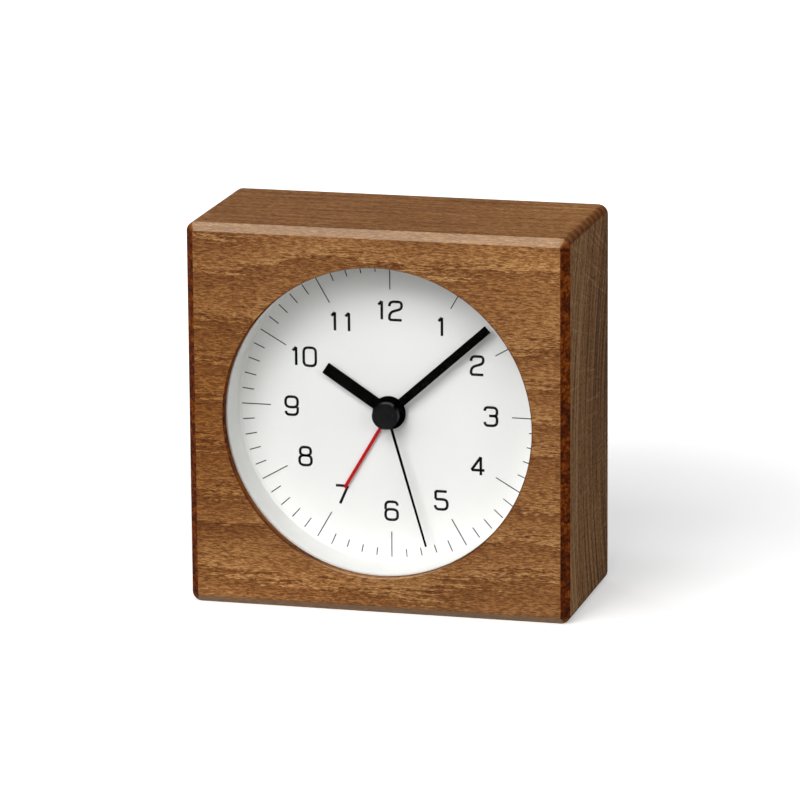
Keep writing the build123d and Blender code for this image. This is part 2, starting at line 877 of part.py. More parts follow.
export_step(middle_plate.part, "parts/middle_plate.step")

# Front housing of the movement, a tray whose bush stands through the dial
with BuildPart() as movement_front:
    with BuildSketch(behind(rear_inside)):
        RectangleRounded(movement_size, movement_size, movement_corner)
    extrude(amount=rear_inside - dial_back)
    with BuildSketch(behind(rear_inside)):
        RectangleRounded(2 * housing_inside, 2 * housing_inside, movement_corner - movement_wall)
    extrude(amount=rear_inside - movement_inside, mode=Mode.SUBTRACT)
    with BuildSketch(behind(plate_layer)):
        with GridLocations(post_spacing, post_spacing, 2, 2):
            Circle(housing_post_radius)
    extrude(amount=plate_layer - movement_inside)
    add_rod(leaf_front, movement_inside, (leaf_post_x, alarm_leaf_z), alarm_leaf_post_radius)
    add_rod(dial_back, dial_front - bush_stand, hands_centre, bush_radius)
    cut_rod(movement_inside, dial_front - bush_stand, hands_centre, bush_bore)
    cut_rod(movement_inside, movement_inside - pivot_depth, motion_place, setting_pivot_bore)
    cut_rod(movement_inside, movement_inside - pivot_depth, alarm_place, setting_pivot_bore)
movement_front.part.label = "movement_front"
export_step(movement_front.part, "parts/movement_front.step")

# Rear housing of the movement, with four pillars that clamp the middle plate
with BuildPart() as movement_rear:
    with BuildSketch(behind(movement_back)):
        RectangleRounded(movement_size, movement_size, movement_corner)
    extrude(amount=movement_wall)
    with BuildSketch(behind(rear_inside)):
        with GridLocations(post_spacing, post_spacing, 2, 2):
            Circle(housing_post_radius)
    extrude(amount=rear_inside - plate_back)
    for place in (motion_place, alarm_place):
        cut_rod(movement_back, rear_inside, place, setting_pivot_bore)
    for place in (hands_centre, third_place, intermediate_place, rotor_place):
        cut_rod(rear_inside + pivot_depth, rear_inside, place, train_pivot_bore)
movement_rear.part.label = "movement_rear"
export_step(movement_rear.part, "parts/movement_rear.step")

# Moulded back cover
trough_inside = battery_radius + battery_gap
trough_outside = trough_inside + cover_wall
trough_length = battery_nub_length + battery_body_length + battery_spring_length + 2 * contact_thickness
door_opening_width = trough_length - 2 * battery_edge
door_opening_height = 2 * trough_inside
door_width = door_opening_width + 2 * door_ledge
door_height = door_opening_height + 2 * door_ledge
cover_width = rebate_width - 2 * drop_in_gap
cover_height = rebate_height - 2 * drop_in_gap
dish_width = switch_knob_width + 2 * dish_margin
dish_height = switch_knob_height + switch_travel + 2 * dish_margin
control_post_offset = control_board_height / 2 - control_post_inset
with BuildPart() as back_cover:
    with BuildSketch(behind(cover_back)):
        RectangleRounded(cover_width, cover_height, rebate_radius - drop_in_gap)
    extrude(amount=cover_thickness)
    # Skirt that presses the dial forward
    with BuildSketch(behind(cover_front)):
        Circle(drop_in_radius)
        Circle(skirt_inside, mode=Mode.SUBTRACT)
    extrude(amount=cover_front - dial_back)
    # Wells of the two knobs and the seat of the buzzer
    for place in (motion_place, alarm_place):
        add_rod(cover_front, well_floor_front, place, well_outside)
    add_rod(cover_front, cover_front - buzzer_seat_height, buzzer_place, buzzer_seat_bore + cover_wall)
    cut_rod(cover_front, cover_front - buzzer_seat_height, buzzer_place, buzzer_seat_bore)
    # Battery trough, closed towards the movement
    with BuildSketch(behind(cover_front, battery_place)):
        Rectangle(trough_length + 2 * cover_wall, 2 * trough_outside)
    extrude(amount=cover_front - movement_back)
    for place in (motion_place, alarm_place):
        cut_rod(cover_back, well_floor_back, place, well_radius)
        cut_rod(well_floor_back, well_floor_front, place, setting_pivot_bore)
    with BuildSketch(behind(cover_back, battery_place)):
        Rectangle(door_opening_width, door_opening_height)
    extrude(amount=cover_back - door_front + cut_overrun, mode=Mode.SUBTRACT)
    with BuildSketch(behind(cover_front, battery_place)):
        Rectangle(trough_length, 2 * trough_inside)
    extrude(amount=cover_front - battery_depth, mode=Mode.SUBTRACT)
    with BuildSketch(across(-trough_length / 2)):
        Circle(trough_inside)
    extrude(amount=trough_length, mode=Mode.SUBTRACT)
    with BuildSketch(behind(cover_back, battery_place)):
        RectangleRounded(door_width, door_height, door_corner)
    extrude(amount=door_thickness, mode=Mode.SUBTRACT)
    # Grille over the buzzer, cut to a round outline
    with BuildSketch(behind(cover_back, buzzer_place)):
        with GridLocations(0, grille_slot_pitch, 1, grille_slot_count):
            SlotOverall(grille_span, grille_slot_width)
    extrude(amount=cover_thickness, mode=Mode.SUBTRACT)
    # Finger dishes of the switch and the button, with their openings
    with BuildSketch(behind(cover_back, switch_place)):
        RectangleRounded(dish_width, dish_height, door_corner)
    extrude(amount=dish_depth, mode=Mode.SUBTRACT)
    with BuildSketch(behind(cover_back, switch_place)):
        Rectangle(switch_knob_width + 2 * switch_slide_gap, switch_knob_height + switch_travel + 2 * seat_gap)
    extrude(amount=cover_thickness, mode=Mode.SUBTRACT)
    cut_rod(cover_back, dish_floor, snooze_place, snooze_radius + dish_margin)
    cut_rod(cover_back, cover_front, snooze_place, snooze_radius + snooze_gap)
    # Posts that carry the two control boards
    for place in (switch_place, snooze_place):
        for side in (-control_post_offset, control_post_offset):
            add_rod(cover_front, control_board_back, (place[0], place[1] + side), control_post_radius)
    # Countersunk holes of the four screws
    with Locations(behind(cover_back)):
        with GridLocations(cover_screw_columns, cover_screw_rows, 2, 2):
            CounterSinkHole(
                cover_screw_radius,
                cover_screw_head_radius,
                depth=cover_thickness,
                counter_sink_angle=right_angle,
            )
back_cover.part.label = "back_cover"
export_step(back_cover.part, "parts/back_cover.step")

# Four countersunk wood screws with a cross recess
into_block = (Align.CENTER, Align.CENTER, Align.MIN)
with BuildPart() as cover_screws:
    with Locations(behind(cover_back)):
        with GridLocations(cover_screw_columns, cover_screw_rows, 2, 2):
            Cone(
                cover_screw_head_radius,
                cover_screw_radius,
                cover_screw_head_radius - cover_screw_radius,
                align=into_block,
            )
            Cylinder(cover_screw_radius, cover_thickness + cover_screw_length, align=into_block)
            Box(screw_cross_length, screw_cross_width, screw_cross_depth, align=into_block, mode=Mode.SUBTRACT)
            Box(screw_cross_width, screw_cross_length, screw_cross_depth, align=into_block, mode=Mode.SUBTRACT)
cover_screws.part.label = "cover_screws"
export_step(cover_screws.part, "parts/cover_screws.step")


def add_knob(place):
    """Add a fluted, dished finger knob with a blind hole for its arbor."""
    add_rod(knob_back, knob_front, place, knob_radius)
    with BuildSketch(behind(knob_back, place)) as flutes:
        with PolarLocations(knob_radius + knob_flute_radius / 2, knob_flute_count):
            Circle(knob_flute_radius)
    extrude(flutes.sketch, amount=knob_thickness, mode=Mode.SUBTRACT)
    cut_rod(knob_back, knob_back - knob_dish_depth, place, knob_radius - knob_rim)
    cut_rod(knob_back - knob_thickness / 2, knob_front, place, setting_arbor_radius)


# Knob that sets the time
with BuildPart() as time_knob:
    add_knob(motion_place)
time_knob.part.label = "time_knob"
export_step(time_knob.part, "parts/time_knob.step")

# Knob that sets the alarm
with BuildPart() as alarm_knob:
    add_knob(alarm_place)
alarm_knob.part.label = "alarm_knob"
export_step(alarm_knob.part, "parts/alarm_knob.step")


# Battery, with its positive end towards -X
nub_start = -trough_length / 2 + contact_thickness
body_start = nub_start + battery_nub_length
body_end = body_start + battery_body_length
spring_end = trough_length / 2 - contact_thickness
with BuildPart() as battery:
    with BuildSketch(across(body_start)):
        Circle(battery_radius)
    extrude(amount=battery_body_length)
    fillet(battery.edges().filter_by(GeomType.CIRCLE), radius=battery_edge / 2)
    with BuildSketch(across(nub_start)):
        Circle(battery_nub_radius)
    extrude(amount=battery_nub_length)
battery.part.label = "battery"
export_step(battery.part, "parts/battery.step")

# Flat contacts at the ends of the trough
with BuildPart() as contact_positive:
    with BuildSketch(across(-trough_length / 2)):
        Rectangle(contact_width, contact_height)
    extrude(amount=contact_thickness)
contact_positive.part.label = "contact_positive"
export_step(contact_positive.part, "parts/contact_positive.step")

with BuildPart() as contact_negative:
    with BuildSketch(across(spring_end)):
        Rectangle(contact_width, contact_height)
    extrude(amount=contact_thickness)
contact_negative.part.label = "contact_negative"
export_step(contact_negative.part, "parts/contact_negative.step")

# Conical spring that presses on the battery's flat end
spring_rise = battery_spring_length - 2 * battery_spring_wire
spring_flare = atan2(battery_spring_radius - battery_spring_tip_radius, spring_rise)
with BuildPart() as battery_spring:
    with BuildLine() as spring_line:
        Helix(
            pitch=spring_rise / battery_spring_turns,
            height=spring_rise,
            radius=battery_spring_tip_radius,
            center=across(body_end + battery_spring_wire).origin,
            direction=(1, 0, 0),
            cone_angle=degrees(spring_flare),
        )
    with BuildSketch(Plane(origin=spring_line.line @ 0, z_dir=spring_line.line % 0)):
        RegularPolygon(battery_spring_wire, wire_sides)
    sweep(is_frenet=True)
battery_spring.part.label = "battery_spring"
export_step(battery_spring.part, "parts/battery_spring.step")

# Door of the battery trough, flush with the cover, with four legs that grip the opening
with BuildPart() as battery_door:
    with BuildSketch(behind(cover_back, battery_place)):
        RectangleRounded(door_width - 2 * door_gap, door_height - 2 * door_gap, door_corner - door_gap)
    extrude(amount=door_thickness)
    with BuildSketch(behind(door_front, battery_place)):
        leg_rows = door_opening_height - 2 * door_gap - door_leg_thickness
        with GridLocations(door_leg_spread, leg_rows, 2, 2):
            Rectangle(door_leg_width, door_leg_thickness)
    extrude(amount=door_leg_length)
    grip_x = door_width / 2 - door_ledge - door_grip_pitch * door_grip_count
    with BuildSketch(behind(cover_back, (grip_x, -battery_drop))):
        with GridLocations(door_grip_pitch, 0, door_grip_count, 1):
            SlotOverall(door_grip_length, door_grip_width, rotation=right_angle)
    extrude(amount=door_grip_depth, mode=Mode.SUBTRACT)
battery_door.part.label = "battery_door"
export_step(battery_door.part, "parts/battery_door.step")

# Buzzer in its seat behind the grille, with a sound hole in the middle
with BuildPart() as buzzer:
    add_rod(cover_front, cover_front - buzzer_height, buzzer_place, buzzer_radius)
    cut_rod(cover_front, cover_front - cover_wall, buzzer_place, grille_slot_width)
buzzer.part.label = "buzzer"
export_step(buzzer.part, "parts/buzzer.step")


def add_control_board(place):
    """Add the small board that stands on two posts behind a control."""
    with BuildSketch(behind(control_board_back, place)) as board:
        Rectangle(control_board_width, control_board_height)
    extrude(board.sketch, amount=control_board_thickness)


# Boards of the alarm switch and of the snooze button
with BuildPart() as switch_board:
    add_control_board(switch_place)
switch_board.part.label = "switch_board"
export_step(switch_board.part, "parts/switch_board.step")

with BuildPart() as snooze_board:
    add_control_board(snooze_place)
snooze_board.part.label = "snooze_board"
export_step(snooze_board.part, "parts/snooze_board.step")

# Slide of the alarm switch, resting at the lower end of its travel
slide_place = (switch_place[0], switch_place[1] - switch_travel / 2)
slide_back = cover_back - cover_inset
slide_base_back = cover_front - switch_slide_gap
slide_base_front = slide_base_back - switch_base_thickness
with BuildPart() as alarm_switch:
    with BuildSketch(behind(slide_back, slide_place)):
        Rectangle(switch_knob_width, switch_knob_height)
    extrude(amount=slide_back - slide_base_back)
    with BuildSketch(behind(slide_base_back, slide_place)):
        Rectangle(switch_knob_width + 2 * switch_base_margin, switch_knob_height + 2 * switch_base_margin)
    extrude(amount=switch_base_thickness)
    with BuildSketch(behind(slide_base_front, slide_place)):
        Rectangle(switch_stem_width, switch_stem_width)
    extrude(amount=slide_base_front - control_board_back - switch_slide_gap)
    with BuildSketch(behind(slide_back, slide_place)):
        with GridLocations(0, switch_ridge_pitch, 1, switch_ridge_count):
            Rectangle(switch_knob_width, switch_ridge_width)
    extrude(amount=switch_ridge_depth, mode=Mode.SUBTRACT)
alarm_switch.part.label = "alarm_switch"
export_step(alarm_switch.part, "parts/alarm_switch.step")

# Snooze button, held against the inside of the cover by its spring
button_back = cover_back - cover_inset
flange_front = cover_front - snooze_flange_thickness
plunger_length = flange_front - control_board_back - snooze_travel - seat_gap
with BuildPart() as snooze_button:
    add_rod(button_back, cover_front, snooze_place, snooze_radius)
    fillet(snooze_button.faces().sort_by(Axis.Y)[-1].edges(), radius=snooze_edge)
    add_rod(cover_front, flange_front, snooze_place, snooze_radius + snooze_flange_margin)
    add_rod(flange_front, flange_front - plunger_length, snooze_place, snooze_plunger_radius)
snooze_button.part.label = "snooze_button"
export_step(snooze_button.part, "parts/snooze_button.step")

snooze_rise = flange_front - control_board_back - 2 * snooze_spring_wire
with BuildPart() as snooze_spring:
    with BuildLine() as snooze_line:
        Helix(
            pitch=snooze_rise / snooze_spring_turns,
            height=snooze_rise,
            radius=snooze_spring_radius,
            center=behind(control_board_back + snooze_spring_wire, snooze_place).origin,
            direction=(0, 1, 0),
        )
    with BuildSketch(Plane(origin=snooze_line.line @ 0, z_dir=snooze_line.line % 0)):
        RegularPolygon(snooze_spring_wire, wire_sides)
    sweep(is_frenet=True)
snooze_spring.part.label = "snooze_spring"
export_step(snooze_spring.part, "parts/snooze_spring.step")
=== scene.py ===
"""Looks of a wooden desk alarm clock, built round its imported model.

The block, lens, dial, hands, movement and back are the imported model's own nodes and get their finishes here.
The print on the dial is modelled here, and the stage, the lamps and the camera stand round the clock.
The dial faces -Y, +Z is up, and the origin is the centre of the block's underside. Lengths are in metres.
"""

import json
import math

import bmesh
import bpy
from mathutils import Matrix, Vector


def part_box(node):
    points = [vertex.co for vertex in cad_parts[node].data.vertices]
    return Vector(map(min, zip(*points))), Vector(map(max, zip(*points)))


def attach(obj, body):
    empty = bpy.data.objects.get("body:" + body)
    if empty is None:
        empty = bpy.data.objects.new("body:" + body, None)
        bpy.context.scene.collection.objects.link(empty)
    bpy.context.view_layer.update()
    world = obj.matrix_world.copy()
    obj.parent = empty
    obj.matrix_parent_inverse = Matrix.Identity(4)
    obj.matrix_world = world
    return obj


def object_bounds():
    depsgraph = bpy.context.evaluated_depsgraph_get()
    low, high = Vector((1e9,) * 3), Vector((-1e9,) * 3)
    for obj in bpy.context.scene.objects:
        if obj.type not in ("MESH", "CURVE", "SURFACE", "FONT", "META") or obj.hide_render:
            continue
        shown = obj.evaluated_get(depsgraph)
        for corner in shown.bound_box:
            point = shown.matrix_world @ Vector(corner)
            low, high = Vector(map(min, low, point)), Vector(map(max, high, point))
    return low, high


bl_info = {
    "name": "Wooden Desk Alarm Clock",
    "version": (1, 0, 0),
    "blender": (4, 5, 0),
    "location": "3D View > Sidebar > Clock",
    "description": "Prints the dial of a wooden desk alarm clock, finishes its pieces and sets its stage",
    "category": "Object",
}

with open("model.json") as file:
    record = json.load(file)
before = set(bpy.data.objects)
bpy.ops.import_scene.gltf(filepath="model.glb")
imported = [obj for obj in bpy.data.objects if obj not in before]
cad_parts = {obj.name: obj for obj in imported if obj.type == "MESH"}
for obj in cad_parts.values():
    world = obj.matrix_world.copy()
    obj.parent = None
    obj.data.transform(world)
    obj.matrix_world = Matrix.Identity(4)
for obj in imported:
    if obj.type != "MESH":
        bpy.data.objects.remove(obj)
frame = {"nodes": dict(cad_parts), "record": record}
cad_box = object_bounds()

MM = 0.001
DIAL_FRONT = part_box("dial")[0].y
HANDS_AXIS = Vector((0, 0, (cad_box[0].z + cad_box[1].z) / 2))

# Soft square lamps of the stage: name, place, side and power in watts. The front and high ones shape the
# dial's shade and throw the hands' shadows to the lower right. The right and left ones light the ends of the
# block, the top one is small, for the sheen on the upper bevel, and the back one lights the cover
LAMPS = (
    ("front_lamp", (-0.85, -3.6, 1.6), 2.4, 52.0),
    ("high_left_lamp", (-1.25, -2.9, 2.6), 2.0, 47.0),
    ("high_lamp", (0.1, -3.0, 2.7), 2.0, 47.0),
    ("right_lamp", (2.4, -2.5, 1.2), 1.6, 24.0),
    ("left_lamp", (-3.2, -2.0, 1.4), 1.4, 9.0),
    ("top_lamp", (-0.75, -0.65, 2.9), 0.7, 11.0),
    ("back_lamp", (-2.6, 2.4, 0.6), 0.8, 30.0),
)

# Strokes of the numerals: whether a stroke is a ring, and its corners as shares of the figure's width and
# height, each with whether it is rounded
ONE = [(False, [(1, 0, False), (1, 1, False)]), (False, [(0, 0.8, False), (1, 1, False)])]
FIGURES = {
    "0": [(True, [(0, 0, True), (1, 0, True), (1, 1, True), (0, 1, True)])],
    "2": [
        (False, [
            (0, 0.74, False), (0, 1, True), (1, 1, True), (1, 0.62, True), (0, 0.4, True), (0, 0, False),
        ]),
        (False, [(0, 0, False), (1, 0, False)]),
    ],
    "3": [
        (False, [(0, 0.8, False), (0, 1, True), (1, 1, True), (1, 0.54, True), (0.72, 0.54, False)]),
        (False, [(0.36, 0.54, False), (0.8, 0.54, False)]),
        (False, [(0.72, 0.54, False), (1, 0.54, True), (1, 0, True), (0, 0, True), (0, 0.2, False)]),
    ],
    "4": [
        (False, [(0.76, 0, False), (0.76, 1, False)]),
        (False, [(0.76, 1, False), (0, 0.27, False)]),
        (False, [(0, 0.27, False), (1.06, 0.27, False)]),
    ],
    "5": [
        (False, [(0.96, 1, False), (0.04, 1, False)]),
        (False, [(0.04, 1, False), (0.04, 0.56, False)]),
        (False, [(0.04, 0.56, False), (1, 0.56, True), (1, 0, True), (0, 0, True), (0, 0.22, False)]),
    ],
    "6": [
        (False, [(0.98, 0.8, False), (0.98, 1, True), (0, 1, True), (0, 0.56, False)]),
        (True, [(0, 0, True), (1, 0, True), (1, 0.58, True), (0, 0.58, True)]),
    ],
    "7": [
        (False, [(0, 1, False), (1, 1, False)]),
        (False, [(1, 1, False), (0.34, 0, False)]),
    ],
    "8": [
        (True, [(0, 0, True), (1, 0, True), (1, 0.54, True), (0, 0.54, True)]),
        (True, [(0.06, 0.54, True), (0.94, 0.54, True), (0.94, 1, True), (0.06, 1, True)]),
    ],
    "9": [
        (False, [(0.02, 0.2, False), (0.02, 0, True), (1, 0, True), (1, 0.44, False)]),
        (True, [(0, 0.42, True), (1, 0.42, True), (1, 1, True), (0, 1, True)]),
    ],
}


class DialPrintSizes(bpy.types.PropertyGroup):
    """Sizes of the numerals and marks on the dial."""

    numeral_circle: bpy.props.FloatProperty(
        name="Numeral circle", description="Radius on which the numerals are centred", default=29.0 * MM,
        unit="LENGTH",
    )
    numeral_height: bpy.props.FloatProperty(
        name="Numeral height", description="Height of a numeral, stroke included", default=6.0 * MM,
        unit="LENGTH",
    )
    figure_width: bpy.props.FloatProperty(
        name="Figure width", description="Width of a figure other than one, stroke included",
        default=4.3 * MM, unit="LENGTH",
    )
    one_width: bpy.props.FloatProperty(
        name="Width of a one", description="Width of a one, stroke included", default=1.75 * MM,
        unit="LENGTH",
    )
    figure_gap: bpy.props.FloatProperty(
        name="Gap between figures", description="Gap between a one and the figure after it",
        default=1.45 * MM, unit="LENGTH",
    )
    ones_gap: bpy.props.FloatProperty(
        name="Gap between ones", description="Gap between the two ones of eleven", default=2.35 * MM,
        unit="LENGTH",
    )
    stroke: bpy.props.FloatProperty(
        name="Stroke", description="Width of a numeral's stroke", default=0.76 * MM, unit="LENGTH",
    )
    corner: bpy.props.FloatProperty(
        name="Corner", description="Radius of the numerals' corners", default=1.35 * MM, unit="LENGTH",
    )
    mark_outer: bpy.props.FloatProperty(
        name="Outer end of marks", description="Radius at which the marks end", default=43.6 * MM,
        unit="LENGTH",
    )
    hour_mark_inner: bpy.props.FloatProperty(
        name="Inner end of hour marks", description="Radius at which the hour marks start", default=35.1 * MM,
        unit="LENGTH",
    )
    minute_mark_inner: bpy.props.FloatProperty(
        name="Inner end of minute marks", description="Radius at which the minute marks start",
        default=40.2 * MM, unit="LENGTH",
    )
    foot_mark_outer: bpy.props.FloatProperty(
        name="Outer end of foot marks", description="Radius at which the marks next to six end",
        default=42.5 * MM, unit="LENGTH",
    )
    mark_width: bpy.props.FloatProperty(
        name="Mark width", description="Width of a mark", default=0.28 * MM, unit="LENGTH",
    )
    ink_height: bpy.props.FloatProperty(
        name="Ink height", description="How far the ink stands off the dial", default=0.03 * MM,
        unit="LENGTH",
    )


class ClockColours(bpy.types.PropertyGroup):
    """Colours of the pieces that show, as sRGB hex values."""

    wood_light: bpy.props.StringProperty(name="Light wood", description="Palest fibres", default="#b78d5b")
    wood_mid: bpy.props.StringProperty(name="Wood", description="Golden body of the wood", default="#946438")
    wood_dark: bpy.props.StringProperty(name="Dark wood", description="Darkest fibres", default="#593315")
    wood_band: bpy.props.StringProperty(name="Brown wood", description="Brown bands", default="#7a4e2a")
    end_light: bpy.props.StringProperty(name="Light ends", description="Rays on the ends", default="#c39a70")
    end_mid: bpy.props.StringProperty(name="Ends", description="Stained end grain", default="#92673f")
    end_dark: bpy.props.StringProperty(name="Dark ends", description="Latewood on them", default="#50351f")
    bevel: bpy.props.StringProperty(name="Bevels", description="Stain-soaked bevels", default="#602402")
    bevel_light: bpy.props.StringProperty(name="Light bevels", description="Earlywood", default="#85480f")
    # Painted sheen on the upper bevel and painted light on the lower one
    rubbed: bpy.props.StringProperty(name="Painted bevel highlight", description="Painted sheen and light", default="#cdb394")
    pore: bpy.props.StringProperty(name="Pores", description="Stain held in the pores", default="#2c1004")
    dial: bpy.props.StringProperty(name="Dial", description="Printed white ground", default="#f0f0ee")
    ring: bpy.props.StringProperty(name="Dial ring", description="White moulded ring", default="#eeeeeb")
    ink: bpy.props.StringProperty(name="Ink", description="Black printing ink", default="#0d0d0d")
    hand_black: bpy.props.StringProperty(name="Black hands", description="Matt enamel", default="#020202")
    hand_red: bpy.props.StringProperty(name="Red hand", description="Red enamel", default="#b90f14")
    cap: bpy.props.StringProperty(name="Cap", description="Black cap over the hands", default="#050505")
    cover: bpy.props.StringProperty(name="Back cover", description="Black moulded plastic", default="#1b1b1c")


class StageSizes(bpy.types.PropertyGroup):
    """The photograph's camera, and the lamps and floor round the clock."""

    camera_x: bpy.props.FloatProperty(
        name="Camera X", description="Camera to the right", default=0.39075, unit="LENGTH",
    )
    camera_y: bpy.props.FloatProperty(
        name="Camera Y", description="Camera to the back, so negative in front", default=-1.47902,
        unit="LENGTH",
    )
    camera_z: bpy.props.FloatProperty(
        name="Camera Z", description="Camera height", default=0.42977, unit="LENGTH",
    )
    camera_turn: bpy.props.FloatProperty(
        name="Camera turn", description="How far the camera looks to the left", default=0.2581,
        unit="ROTATION",
    )
    camera_tilt: bpy.props.FloatProperty(
        name="Camera tilt", description="How far the camera looks down", default=0.2396, unit="ROTATION",
    )
    camera_roll: bpy.props.FloatProperty(
        name="Camera roll", description="Roll of the camera", default=-0.0078, unit="ROTATION",
    )
    camera_lens: bpy.props.FloatProperty(
        name="Camera lens", description="Focal length in millimetres on a 36 mm sensor", default=250.4,
        unit="CAMERA",
    )
    lamp_light: bpy.props.FloatProperty(
        name="Lamp light", description="Light of all the soft lamps, as a share of what they give",
        default=1.0, subtype="FACTOR",
    )
    fill: bpy.props.FloatProperty(
        name="Fill", description="Strength of the even light all round", default=0.08, subtype="FACTOR",
    )
    floor_size: bpy.props.FloatProperty(
        name="Floor size", description="Side of the square floor", default=8.0, unit="LENGTH",
    )


def linear(hex_colour):
    """Linear RGBA of an sRGB hex colour."""
    channels = []
    for start in (1, 3, 5):
        value = int(hex_colour[start:start + 2], 16) / 255
        channels.append(value / 12.92 if value <= 0.04045 else ((value + 0.055) / 1.055) ** 2.4)
    return (*channels, 1.0)


def add_node(owner, kind, inputs=(), output=0, stops=(), **settings):
    """Add a node with its settings and links to a material or world, and give one of its outputs.

    Inputs go by name or number in a dict, or in order in a tuple, and each is a value or another node's
    output. Stops are a colour ramp's positions, each with a grey value or a colour."""
    tree = owner.node_tree
    node = tree.nodes.new(kind)
    for name, value in settings.items():
        setattr(node, name, value)
    for key, value in inputs.items() if isinstance(inputs, dict) else enumerate(inputs):
        if isinstance(value, bpy.types.NodeSocket):
            tree.links.new(value, node.inputs[key])
        else:
            node.inputs[key].default_value = value
    if stops:
        ramp = node.color_ramp.elements
        while len(ramp) < len(stops):
            ramp.new(0.5)
        for element, (position, colour) in zip(ramp, stops):
            element.position = position
            element.color = colour if isinstance(colour, tuple) else (colour, colour, colour, 1.0)
    return node.outputs[output] if node.outputs else node


def new_material(name):
    """An empty material with nodes."""
    material = bpy.data.materials.new(name)
    material.use_nodes = True
    material.node_tree.nodes.clear()
    return material


def deeper(hex_colour, share):
    """Linear RGBA of an sRGB hex colour, with only a share of its light."""
    return (*(share * channel for channel in linear(hex_colour)[:3]), 1.0)


